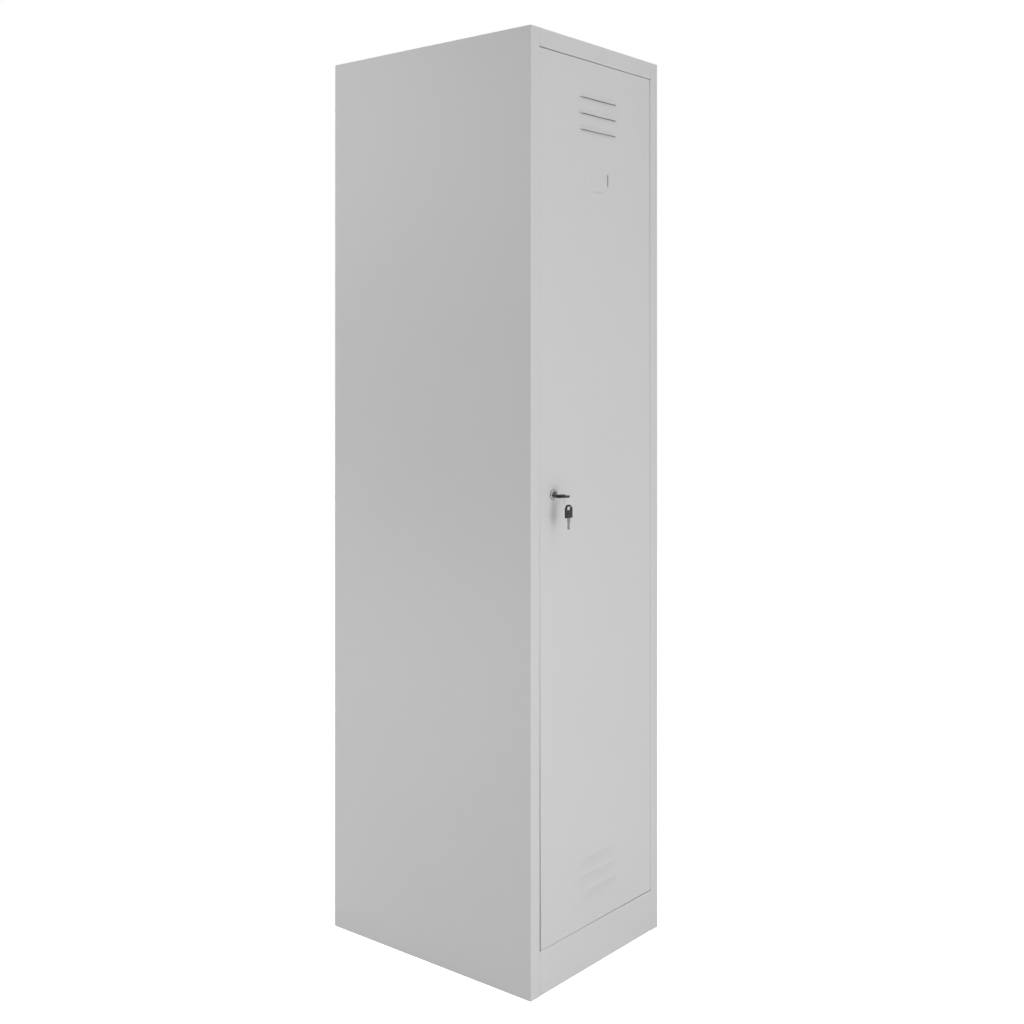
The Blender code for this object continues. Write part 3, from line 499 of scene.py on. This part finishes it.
def faces_towards(axis, sign):
    return lambda face: face.normal[axis] * sign > LEVEL


def edges_at(depth):
    """Test for the edges that lie at one depth, which is their y."""
    return lambda edge: all(abs(point.co.y - depth) < NEAR for point in edge.verts)


def choose(kind, wanted):
    """Selects only the points, edges or faces that a test wants."""
    bpy.ops.mesh.select_mode(type=kind)
    bpy.ops.mesh.select_all(action="DESELECT")
    mesh = bmesh.from_edit_mesh(bpy.context.edit_object.data)
    mesh.normal_update()
    kept = {"VERT": mesh.verts, "EDGE": mesh.edges, "FACE": mesh.faces}[kind]
    for item in [item for item in kept if wanted(item)]:
        item.select_set(True)
    bmesh.update_edit_mesh(bpy.context.edit_object.data)


def choose_all():
    bpy.ops.mesh.select_all(action="SELECT")


def extrude(x=0.0, y=0.0, z=0.0):
    bpy.ops.mesh.extrude_region_move(TRANSFORM_OT_translate={"value": (x, y, z)})


def extrude_edges(y):
    bpy.ops.mesh.extrude_edges_move(TRANSFORM_OT_translate={"value": (0, y, 0)})


def bevel(width, steps):
    bpy.ops.mesh.bevel(offset=width, segments=steps, affect="EDGES")


def split(place, normal, **settings):
    """Cuts what is selected along a plane."""
    bpy.ops.mesh.bisect(plane_co=place, plane_no=normal, threshold=ON_CUT, **settings)


def join_open_rims():
    """Walls the two open rims of a bored shape together."""
    choose("EDGE", lambda edge: edge.is_boundary)
    bpy.ops.mesh.bridge_edge_loops()


def apply(piece, kind, **settings):
    """Adds a modifier and applies it at once."""
    bpy.context.view_layer.objects.active = piece
    modifier = piece.modifiers.new(kind.lower(), kind)
    for name, value in settings.items():
        setattr(modifier, name, value)
    bpy.ops.object.modifier_apply(modifier=modifier.name)


def combine(piece, tool, operation="DIFFERENCE"):
    """Cuts a tool out of a piece, or welds it on, and throws the tool away."""
    apply(piece, "BOOLEAN", object=tool, operation=operation, solver="EXACT")
    bpy.data.objects.remove(tool, do_unlink=True)


def take(*pieces):
    """Selects only these pieces, with the first as the active one."""
    bpy.ops.object.select_all(action="DESELECT")
    for piece in pieces:
        piece.select_set(True)
    bpy.context.view_layer.objects.active = pieces[0]


def joined(pieces):
    """Several separate shapes as one piece, with their places put into its mesh."""
    take(*pieces)
    bpy.ops.object.transform_apply(location=True, rotation=True, scale=True)
    bpy.ops.object.join()
    return pieces[0]


def put(piece, place, turn=(0, 0, 0)):
    """Sets a piece that was made in its own frame in its place."""
    take(piece)
    piece.location = place
    piece.rotation_euler = turn
    bpy.ops.object.transform_apply(location=True, rotation=True, scale=True)


def copy_of(piece):
    """Second piece with a mesh of its own."""
    twin = piece.copy()
    twin.data = piece.data.copy()
    bpy.context.scene.collection.objects.link(twin)
    return twin


def soften(piece, width, steps):
    """Rounds the sharp edges of a finished shape."""
    apply(
        piece, "BEVEL", width=width, segments=steps,
        limit_method="ANGLE", angle_limit=ROUND_ANGLE,
    )


def hand_over(piece, name, slot, body, *nodes, finish=None):
    """Shades the piece, gives it its finish and sets it on its body for its CAD nodes."""
    take(piece)
    bpy.ops.object.shade_smooth_by_angle(angle=SHADE_ANGLE)
    piece.name = name
    piece.data.name = name
    piece.data.materials.clear()
    piece.data.materials.append(finish or FINISHES[slot])
    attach(piece, body)
    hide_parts(*nodes)
    return piece


def block(low, high):
    """Plain block between two corners, to cut with or to weld on."""
    low, high = Vector(low), Vector(high)
    piece = cube(high - low, (low + high) / 2)
    close_edit()
    return piece


def bar(radius, low, high, turn=ALONG_Y, sides=ROUND_SIDES):
    """Round bar along y or z between two points, to cut holes with."""
    low, high = Vector(low), Vector(high)
    piece = drum(sides, radius, (high - low).length, (low + high) / 2, turn)
    close_edit()
    return piece


def blister(length, rise, reach, inside):
    """Half of a long smooth dome: its slot along x, its rim above, standing out to -y.

    The inside one is a sheet smaller and reaches a little past the slot, to hollow the other.
    """
    drop = PRESS_DROP if inside else 0.0
    radius = rise - SHEET + drop if inside else rise
    crown = reach - SHEET if inside else reach
    deep = PRESS_DEPTH if inside else SHEET / 2
    half = length / 2 - rise
    dome = drum(
        FINE_SIDES, radius, deep - PRESS_SINK, (0, (deep + PRESS_SINK) / 2, 0),
        (QUARTER, math.pi / FINE_SIDES, 0),
    )
    choose("FACE", faces_towards(1, -1))
    drawn = 0.0
    for step in range(PRESS_STEPS):
        share = (step + 1) / PRESS_STEPS
        swell = (1 - math.cos(math.pi * share)) / 2
        out = (crown + PRESS_SINK) * (PRESS_STRAIGHT * share + (1 - PRESS_STRAIGHT) * swell)
        bpy.ops.mesh.inset(thickness=radius * PRESS_DRAWN / PRESS_STEPS, depth=out - drawn)
        drawn = out
    for side in (-1, 1):
        choose("VERT", lambda point: point.co.x * side > NEAR)
        bpy.ops.transform.translate(value=(side * half, 0, 0))
    choose_all()
    split((0, 0, 0), (0, 0, 1), clear_inner=True, use_fill=True)
    choose_all()
    bpy.ops.transform.translate(value=(0, 0, -drop))
    close_edit()
    return dome


def pressings():
    """Length, rise, reach, place and turn of each louvre hood and card lip on the door."""
    for number in range(3):
        step = number * HOOD_PITCH
        for slot in (HEIGHT - TOP_HOOD_BELOW_TOP - step, LOW_HOOD_ABOVE_FLOOR + step):
            yield HOOD_LENGTH, HOOD_RISE, HOOD_REACH, (0, FRONT, slot), 0
    line = CARD_WIDTH / 2 - CARD_LIP_RISE
    lip = (CARD_LIP_RISE, CARD_LIP_REACH)
    for side in (-1, 1):
        place = (side * line, FRONT, HEIGHT - CARD_SIDE_BELOW_TOP)
        yield CARD_SIDE_LENGTH, *lip, place, side * QUARTER
    yield CARD_FOOT_LENGTH, *lip, (0, FRONT, HEIGHT - CARD_FOOT_BELOW_TOP), math.pi


def press_tool(inside):
    """All the blisters of one kind, joined into one tool."""
    tools = []
    for length, rise, reach, place, turn in pressings():
        tool = blister(length, rise, reach, inside)
        tool.location = place
        tool.rotation_euler = (0, turn, 0)
        tools.append(tool)
    return joined(tools)


def door_skin():
    """Door pan folded from one sheet, with its louvres and card holder pressed out of it."""
    low, high = corners_of("door_panel")
    centre = Vector(((low.x + high.x) / 2, FRONT, (low.z + high.z) / 2))
    wide = high.x - low.x + 2 * HANG_GROW
    tall = high.z - low.z + 2 * HANG_GROW
    skin = begin(
        bpy.ops.mesh.primitive_plane_add, (wide, tall, 1), size=1, rotation=ALONG_Y,
        location=centre,
    )
    choose("EDGE", lambda edge: True)
    extrude_edges(high.y - FRONT)
    extrude_edges(0)
    bpy.ops.transform.resize(
        value=(1 - 2 * DOOR_RETURN / wide, 1, 1 - 2 * DOOR_RETURN / tall), center_override=centre
    )
    choose_all()
    bpy.ops.transform.rotate(value=HANG_TURN, orient_axis="Y", center_override=centre)
    bpy.ops.transform.translate(value=(0, 0, -HANG_DROP))
    bpy.ops.mesh.normals_make_consistent(inside=False)
    choose("EDGE", lambda edge: len(edge.link_faces) == 2 and edge.calc_face_angle() > FOLD_ANGLE)
    bevel(BEND, FOLD_STEPS)
    close_edit()
    apply(skin, "SOLIDIFY", thickness=SHEET, offset=-1, use_even_offset=True)
    combine(skin, press_tool(False), "UNION")
    combine(skin, press_tool(True))
    behind = Vector((0, high.y - FRONT, 0))
    combine(skin, bar(BARREL_RADIUS + GAP, LOCK - behind / 2, LOCK + behind / 2))
    for name in ("upper", "lower"):
        foot, top = corners_of("hinge_bush_" + name)
        pin = (foot + top) / 2
        room = Vector((0, 0, (top.z - foot.z) / 2 + GAP))
        combine(skin, bar((top.x - foot.x) / 2 + GAP, pin - room, pin + room, ALONG_Z))
        combine(skin, bar(PIN_HOLE, pin - 2 * room, pin + 2 * room, ALONG_Z, HOLE_SIDES))
    hang(skin, low, high, wide, tall, pin)
    hand_over(skin, "door_skin", "grey_paint", "door", "door_panel")
    apply(skin, "WEIGHTED_NORMAL", keep_sharp=True)


def hang(skin, low, high, wide, tall, pin):
    """Bends the door: lower free corner out, free edge above it in, hinge edge round the pins."""
    open_edit()
    choose_all()
    split((low.x + HANG_ROLL_WIDTH, 0, 0), (1, 0, 0))
    for row in range(1, HANG_ROWS):
        choose_all()
        split((0, 0, low.z + row * tall / HANG_ROWS), (0, 0, 1))
    close_edit()
    half_way = (low.z + high.z) / 2
    for point in skin.data.vertices:
        aside = (high.x - point.co.x) / wide
        below = max(0, (half_way - point.co.z) / (tall / 2))
        rolled = max(0, 1 - (point.co.x - low.x) / HANG_ROLL_WIDTH)
        rolled *= (high.y - point.co.y) / (high.y - FRONT) * (1 - below)
        point.co.y += HANG_ROLL * rolled - HANG_TWIST * aside * below ** HANG_TWIST_POWER
        reach = (point.co - pin).xy
        if min(reach.x, -reach.y) > 0 and reach.length > HANG_SWING:
            point.co.xy = pin.xy + reach * HANG_SWING / reach.length


def lock_body():
    """Nickel lock body: dished bezel on the door and a barrel with two flats behind it."""
    bore = PLUG_RADIUS + GAP
    body = drum(
        FINE_SIDES, BEZEL_RADIUS, BEZEL_FACE - GAP, LOCK - Vector((0, (BEZEL_FACE + GAP) / 2, 0))
    )
    choose("EDGE", edges_at(FRONT - BEZEL_FACE))
    bevel(BEZEL_ROUND, BEZEL_STEPS)
    choose("FACE", faces_towards(1, -1))
    bpy.ops.mesh.inset(thickness=BEZEL_LIP)
    bpy.ops.mesh.inset(thickness=BEZEL_DISH, depth=-BEZEL_DISH)
    bpy.ops.mesh.inset(thickness=BEZEL_RADIUS - BEZEL_ROUND - BEZEL_LIP - BEZEL_DISH - bore)
    bpy.ops.mesh.delete(type="FACE")
    choose("FACE", faces_towards(1, 1))
    bpy.ops.mesh.inset(thickness=BEZEL_RADIUS - BARREL_RADIUS)
    extrude(y=LOCK_HIGH.y - FRONT + GAP)
    bpy.ops.mesh.inset(thickness=BARREL_RADIUS - bore)
    bpy.ops.mesh.delete(type="FACE")
    join_open_rims()
    close_edit()
    for side in (-1, 1):
        near = LOCK.x + side * BARREL_FLATS / 2
        far = LOCK.x + side * BEZEL_RADIUS
        low = (min(near, far), FRONT - GAP, LOCK.z - BEZEL_RADIUS)
        high = (max(near, far), LOCK_HIGH.y + SHEET, LOCK.z + BEZEL_RADIUS)
        combine(body, block(low, high))
    hand_over(body, "lock_body", "nickel_plate", "door", "lock_housing")


def plug_with_keyway():
    """Turning plug: ringed face, keyway, and the square tang that carries the cam."""
    low, high = corners_of("lock_plug")
    tail = FRONT + CAM_FRONT - GAP
    plug = drum(FINE_SIDES, PLUG_RADIUS, tail - low.y, (LOCK.x, (low.y + tail) / 2, LOCK.z))
    choose("EDGE", edges_at(low.y))
    bevel(PLUG_ROUND, PLUG_STEPS)
    choose("FACE", faces_towards(1, -1))
    bpy.ops.mesh.inset(thickness=PLUG_RIM)
    bpy.ops.mesh.inset(thickness=PLUG_GROOVE, depth=-PLUG_GROOVE)
    bpy.ops.mesh.inset(thickness=PLUG_GROOVE_FLOOR)
    bpy.ops.mesh.inset(thickness=PLUG_GROOVE, depth=PLUG_GROOVE)
    close_edit()
    half = Vector((TANG / 2, 0, TANG / 2))
    spot = Vector((LOCK.x, 0, LOCK.z))
    tang = block(spot - half + Vector((0, tail - TANG, 0)), spot + half + Vector((0, high.y, 0)))
    combine(plug, tang, "UNION")
    wide = BLADE_WIDTH / 2 + GAP
    thick = BLADE_THICK / 2 + GAP
    inmost = FRONT + BLADE_LENGTH - BOW_START + GAP
    keyway_low = (KEYWAY.x - wide, low.y - BLADE_THICK, KEYWAY.z - thick)
    combine(plug, block(keyway_low, (KEYWAY.x + wide, inmost, KEYWAY.z + thick)))
    screw = Vector((0, SCREW_LENGTH + GAP, 0))
    end = Vector((LOCK.x, high.y, LOCK.z))
    combine(plug, bar(SCREW_RADIUS + GAP, end - screw, end + screw, sides=HOLE_SIDES))
    # The plug gets the dark metal with painted shade, not the bright nickel of its slot
    hand_over(
        plug, "plug_with_keyway", "nickel_plate", "lock_barrel", "lock_plug", finish=PLUG_PAINTED_SHADE
    )


def cross_head(radius, head, shank, length):
    """Screw in its own frame: its domed head with a cross recess towards +y, its shank to -y."""
    screw = drum(ROUND_SIDES, radius, head, (0, head / 2, 0))
    choose("EDGE", edges_at(head))
    bevel(head * SCREW_DOME, SCREW_DOME_STEPS)
    choose("FACE", faces_towards(1, -1))
    bpy.ops.mesh.inset(thickness=radius - shank)
    extrude(y=-length)
    close_edit()
    arm = radius * CROSS_ARM
    slit = radius * CROSS_SLIT
    for wide, tall in ((arm, slit), (slit, arm)):
        combine(screw, block((-wide, head * CROSS_FLOOR, -tall), (wide, head * CROSS_TOP, tall)))
    return screw


def cam_screw():
    """Cross head screw that holds the cam on the plug's tang."""
    low, high = corners_of("cam_screw")
    head = high.y - SCREW_HEAD
    screw = cross_head(SCREW_HEAD_RADIUS, SCREW_HEAD, SCREW_RADIUS, head - low.y)
    put(screw, (LOCK.x, head, LOCK.z))
    hand_over(screw, "cross_head_screw", "bright_steel", "lock_barrel", "cam_screw")


def blade():
    """Key blade in its own frame: flat in xy, pointing along y, milled and cut on one edge."""
    half = BLADE_WIDTH / 2
    tip = BLADE_LENGTH - BOW_START
    shoulder = NECK_LENGTH - BOW_START
    tang_end = -BOW_START - KEY_TANG
    key = cube((BLADE_WIDTH, tip - tang_end, BLADE_THICK), (0, (tip + tang_end) / 2, 0))
    choose_all()
    split((0, shoulder, 0), (0, 1, 0))
    for side in (-1, 1):
        choose("FACE", lambda face: face.normal.x * side > LEVEL and middle(face).y < shoulder)
        extrude(x=side * (NECK_WIDTH - BLADE_WIDTH) / 2)
    choose("EDGE", lambda edge: abs(middle(edge).y - tip) < NEAR and abs(middle(edge).z) < NEAR)
    bevel(TIP_ROUND, TIP_STEPS)
    close_edit()
    for number, share in enumerate(CUT_SHARES):
        out = half + CUT_SIDE / math.sqrt(2) - KEY_CUT * share
        notch = begin(
            bpy.ops.mesh.primitive_cube_add, size=CUT_SIDE, rotation=(0, 0, QUARTER / 2),
            location=(out, tip - CUT_START - number * CUT_PITCH, 0),
        )
        close_edit()
        combine(key, notch)
    for face, offset in GROOVES:
        low = Vector((offset - GROOVE_HALF, shoulder + GROOVE_START, GROOVE_FLOOR))
        high = Vector((offset + GROOVE_HALF, tip + GROOVE_PAST_TIP, BLADE_THICK))
        if face < 0:
            low.z, high.z = -high.z, -low.z
        combine(key, block(low, high))
    soften(key, BLADE_EDGE, 2)
    return key


def bow():
    """Moulded bow in the key's frame: arched end, ring slot and raised grip faces."""
    half = BOW_WIDTH / 2
    centre = half - BOW_END
    head = drum(TUBE_SIDES, half, BOW_THICK, (0, centre, 0), (0, 0, math.pi / TUBE_SIDES))
    choose_all()
    split((0, centre, 0), (0, 1, 0), clear_outer=True, use_fill=True)
    choose("FACE", faces_towards(1, 1))
    extrude(y=-BOW_START - centre)
    start = Vector((0, -BOW_START, 0))
    choose("EDGE", lambda edge: (middle(edge) - start).yz.length < NEAR)
    bevel(BOW_CORNER, BOW_STEPS)
    grip_end = -BOW_START - GRIP_MARGIN - GRIP_LENGTH
    choose("FACE", lambda face: abs(face.normal.z) > LEVEL)
    split((0, grip_end, 0), (0, 1, 0))
    choose("FACE", lambda face: abs(face.normal.z) > LEVEL and middle(face).y > grip_end)
    bpy.ops.mesh.inset(thickness=GRIP_FRAME)
    bpy.ops.mesh.inset(thickness=GRIP_SLOPE, depth=(GRIP_THICK - BOW_THICK) / 2)
    close_edit()
    slot_middle = BOW_BRIDGE - BOW_END + BOW_HOLE_LENGTH / 2
    slot = cube((BOW_HOLE_WIDTH, BOW_HOLE_LENGTH, 2 * GRIP_THICK), (0, slot_middle, 0))
    choose("EDGE", lambda edge: abs(middle(edge).z) < NEAR)
    bevel(BOW_HOLE_ROUND, BOW_STEPS)
    close_edit()
    combine(head, slot)
    wide = NECK_WIDTH / 2 + GAP
    thick = BLADE_THICK / 2 + GAP
    pocket_end = -BOW_START - KEY_TANG - GAP
    combine(head, block((-wide, pocket_end, -thick), (wide, BOW_CORNER - BOW_START, thick)))
    soften(head, BOW_EDGE, EDGE_STEPS)
    return head


def keys():
    """The key in the lock, its bow lying flat, and the spare one hanging from the ring."""
    low, high = corners_of("spare_key_bow")
    hanging = Vector((LOCK.x, (low.y + high.y) / 2, high.z - BOW_END))
    steel = blade()
    plastic = bow()
    spare_steel = copy_of(steel)
    spare_plastic = copy_of(plastic)
    put(steel, KEYWAY)
    put(plastic, KEYWAY)
    put(spare_steel, hanging, (-QUARTER, 0, 0))
    put(spare_plastic, hanging, (-QUARTER, 0, 0))
    hand_over(steel, "key_steel", "bright_steel", "key", "key_blade", finish=KEY_STEEL)
    hand_over(plastic, "key_plastic", "black_plastic", "key", "key_bow")
    hand_over(
        spare_steel, "spare_key_steel", "bright_steel", "spare_key", "spare_key_blade",
        finish=KEY_STEEL,
    )
    hand_over(spare_plastic, "spare_key_plastic", "black_plastic", "spare_key", "spare_key_bow")


def split_ring():
    """Ring of flattened spring wire wound nearly twice, with its two cut ends."""
    low, high = corners_of("key_ring")
    ring = begin(
        bpy.ops.mesh.primitive_circle_add, (RING_PITCH * RING_FILL, RING_WIRE / 2, 1),
        vertices=WIRE_SIDES, radius=1, rotation=ALONG_Y,
        location=(-RING_PITCH * RING_TURNS / 2, 0, RING_RADIUS),
    )
    close_edit()
    apply(
        ring, "SCREW", axis="X", angle=RING_TURNS * 4 * QUARTER,
        screw_offset=RING_PITCH * RING_TURNS, steps=RING_STEPS, render_steps=RING_STEPS,
        use_smooth_shade=True,
    )
    open_edit()
    for side in (-1, 1):
        choose("EDGE", lambda edge: edge.is_boundary and middle(edge).x * side > 0)
        bpy.ops.mesh.edge_face_add()
    choose_all()
    bpy.ops.mesh.normals_make_consistent(inside=False)
    close_edit()
    put(ring, (low + high) / 2, (RING_ENDS, 0, 0))
    hand_over(ring, "split_ring", "bright_steel", "ring", "key_ring", finish=RING_STEEL)


def bore_through(wall):
    """Opens a round block along x from end to end and leaves this wall."""
    choose("FACE", lambda face: abs(face.normal.x) > LEVEL)
    bpy.ops.mesh.inset(thickness=wall)
    bpy.ops.mesh.delete(type="FACE")
    join_open_rims()
    close_edit()


def rail_tube():
    """Bright steel tube for the hangers."""
    low, high = corners_of("clothes_rail")
    tube = drum(TUBE_SIDES, RAIL_RADIUS, high.x - low.x, (low + high) / 2, ALONG_X)
    bore_through(RAIL_WALL)
    hand_over(tube, "rail_tube", "bright_steel", "cabinet", "clothes_rail")


def rail_cups():
    """Moulded cups on the side walls that hold the rail, each with two screws in its flange."""
    for name, side in (("left", -1), ("right", 1)):
        node = "rail_socket_" + name
        low, high = corners_of(node)
        wall = low.x if side < 0 else high.x
        spot = (low + high) / 2
        ring = RAIL_RADIUS + GAP + SOCKET_WALL
        base = (wall - side * SOCKET_BASE / 2, spot.y, spot.z)
        cup = drum(TUBE_SIDES, SOCKET_RADIUS, SOCKET_BASE, base, ALONG_X)
        choose("FACE", faces_towards(0, -side))
        bpy.ops.mesh.inset(thickness=SOCKET_RADIUS - ring)
        extrude(x=-side * SOCKET_DEEP)
        bpy.ops.mesh.inset(thickness=SOCKET_WALL)
        extrude(x=side * SOCKET_DEEP)
        close_edit()
        soften(cup, MOULDED_EDGE, EDGE_STEPS)
        hand_over(cup, "rail_cup_" + name, "black_plastic", "cabinet", node)
        flange = wall - side * SOCKET_BASE
        aside = (SOCKET_RADIUS + ring) / 2
        screws = []
        for along in (-aside, aside):
            screw = cross_head(CUP_SCREW_RADIUS, CUP_SCREW_HEAD, CUP_SCREW_SHANK, SOCKET_BASE)
            put(screw, (flange, spot.y + along, spot.z), (0, 0, side * QUARTER))
            screws.append(screw)
        hand_over(joined(screws), "cup_screws_" + name, "bright_steel", "cabinet")


def coat_hooks():
    """Sliding hooks: a band on the rail, a bent wire under it and a ball at its end."""
    bore = RAIL_RADIUS + GAP
    outside = bore + HOOK_WALL
    first = drum(TUBE_SIDES, outside, HOOK_BAND, turn=ALONG_X)
    bore_through(HOOK_WALL)
    soften(first, MOULDED_EDGE, EDGE_STEPS)
    top = -bore - HOOK_WALL / 2
    bend = -outside - HOOK_DROP
    wire = begin(
        bpy.ops.mesh.primitive_circle_add, vertices=HOLE_SIDES, radius=HOOK_WIRE_RADIUS,
        fill_type="NGON", location=(0, 0, top),
    )
    choose_all()
    extrude(z=bend - top)
    bpy.ops.mesh.spin(
        steps=MARK_SIDES, angle=HOOK_SWEEP, center=(0, -HOOK_CURVE, bend), axis=(1, 0, 0)
    )
    choose_all()
    bpy.ops.mesh.remove_doubles(threshold=SAME_POINT)
    bpy.ops.mesh.normals_make_consistent(inside=False)
    close_edit()
    end_y = HOOK_CURVE * (math.cos(HOOK_SWEEP) - 1)
    ball = begin(
        bpy.ops.mesh.primitive_uv_sphere_add, segments=MARK_SIDES, ring_count=BALL_RINGS,
        radius=HOOK_TIP_RADIUS, location=(0, end_y, bend - HOOK_CURVE * math.sin(HOOK_SWEEP)),
    )
    close_edit()
    combine(first, wire, "UNION")
    combine(first, ball, "UNION")
    hooks = [first, copy_of(first), copy_of(first)]
    for number, hook in enumerate(hooks, 1):
        node = f"coat_hook_{number}"
        low, high = corners_of(node)
        put(hook, ((low.x + high.x) / 2, RAIL_SPOT.y, RAIL_SPOT.z))
        hand_over(hook, f"bent_hook_{number}", "bright_steel", f"hook_{number}", node)


def weld_marks():
    """Spot weld marks down both edges of the back panel, each a shallow dished ring."""
    low, high = corners_of("back_panel")
    first = drum(MARK_SIDES, WELD_RADIUS, SHEET / 2, (0, WELD_RISE - SHEET / 4, 0))
    choose("EDGE", lambda edge: all(point.co.y > 0 for point in edge.verts))
    bevel(WELD_RISE, 2)
    choose("FACE", faces_towards(1, 1))
    for share in (0, WELD_DISH, WELD_DISH_FLOOR):
        bpy.ops.mesh.inset(thickness=WELD_RADIUS * WELD_RING, depth=-WELD_RISE * share)
    close_edit()
    marks = []
    for edge in (low.x + WELD_INSET, high.x - WELD_INSET):
        for row in range(WELD_ROWS):
            height = low.z + (high.z - low.z) * (row + 0.5) / WELD_ROWS
            mark = copy_of(first)
            put(mark, (edge, high.y, height))
            marks.append(mark)
    bpy.data.objects.remove(first, do_unlink=True)
    hand_over(joined(marks), "back_weld_marks", "grey_paint", "cabinet")


def seen_directly(shade):
    """1 for rays from the camera, from gloss or through glass, which see the bare studio."""
    rays = ("Is Camera Ray", "Is Glossy Ray", "Is Transmission Ray")
    camera_ray, glossy_ray, through_ray = (
        shade.node("ShaderNodeLightPath", out=ray) for ray in rays
    )
    return camera_ray + glossy_ray + through_ray


def studio():
    """Pale floor and white surroundings, which light the object only softly.

    Under the cabinet the floor has no glow, which would show through the seams at its foot.
    """
    reach = Vector((-2 * CASE_LOW.x, CASE_HIGH.y - CASE_LOW.y, 0))
    reach += Vector((2, 2, 0)) * (FLOOR_MARGIN - FLOOR_INSET)
    floor = begin(
        bpy.ops.mesh.primitive_plane_add, (reach.x, reach.y, 1), size=1,
        location=(0, (CASE_LOW.y + CASE_HIGH.y) / 2, 0),
    )
    bpy.ops.mesh.inset(thickness=FLOOR_MARGIN)
    close_edit()
    floor.name = "studio_floor"
    ground = new_finish("studio_floor")
    matt = ground.node("ShaderNodeBsdfDiffuse", None, {"Color": FLOOR_GREY})
    glow = ground.node("ShaderNodeEmission", None, {"Strength": FLOOR_GLOW})
    pale = ground.node("ShaderNodeAddShader", None, {0: matt, 1: glow})
    both = ground.node("ShaderNodeMixShader", None, {0: seen_directly(ground), 1: matt, 2: pale})
    ground.node("ShaderNodeOutputMaterial", None, {"Surface": both})
    under = new_finish("floor_under_cabinet")
    matt = under.node("ShaderNodeBsdfDiffuse", None, {"Color": FLOOR_GREY})
    under.node("ShaderNodeOutputMaterial", None, {"Surface": matt})
    for finish in (ground, under):
        floor.data.materials.append(finish.owner)
    for face in floor.data.polygons:
        face.material_index = int(face.center.length < FLOOR_MARGIN / 4)

    air = Finish(bpy.data.worlds.new("studio_air"))
    soft = air.node("ShaderNodeBackground", None, {"Color": WHITE, "Strength": WORLD_LIGHT})
    white = air.node("ShaderNodeBackground", None, {"Color": WHITE, "Strength": WORLD_SEEN})
    both = air.node("ShaderNodeMixShader", None, {0: seen_directly(air), 1: soft, 2: white})
    air.node("ShaderNodeOutputWorld", None, {"Surface": both})
    bpy.context.scene.world = air.owner


def softbox(name, place, target, size, power):
    """Rectangular soft light at a place, turned to its target."""
    light = bpy.data.lights.new(name, "AREA")
    light.shape = "RECTANGLE"
    light.size, light.size_y = size
    light.energy = power
    lamp = bpy.data.objects.new(name, light)
    bpy.context.scene.collection.objects.link(lamp)
    lamp.location = place
    lamp.rotation_euler = (Vector(target) - Vector(place)).to_track_quat("-Z", "Y").to_euler()


def camera():
    """Camera at the photograph's place, almost level, with the lens lowered for the framing."""
    lens = bpy.data.cameras.new("camera")
    lens.lens = CAMERA_LENS
    lens.sensor_width = CAMERA_SENSOR
    lens.shift_y = CAMERA_SHIFT
    lens.clip_end = CAMERA_SIGHT
    eye = bpy.data.objects.new("camera", lens)
    bpy.context.scene.collection.objects.link(eye)
    eye.location = Vector((CASE_LOW.x, FRONT, 0)) + CAMERA_PLACE
    eye.rotation_euler = CAMERA_VIEW.to_track_quat("-Z", "Y").to_euler()
    bpy.context.scene.camera = eye


paint_frame()
door_skin()
lock_body()
plug_with_keyway()
cam_screw()
keys()
split_ring()
rail_tube()
rail_cups()
coat_hooks()
weld_marks()
studio()
for settings in SOFTBOXES:
    softbox(*settings)
camera()
bpy.context.scene.view_settings.view_transform = "Standard"
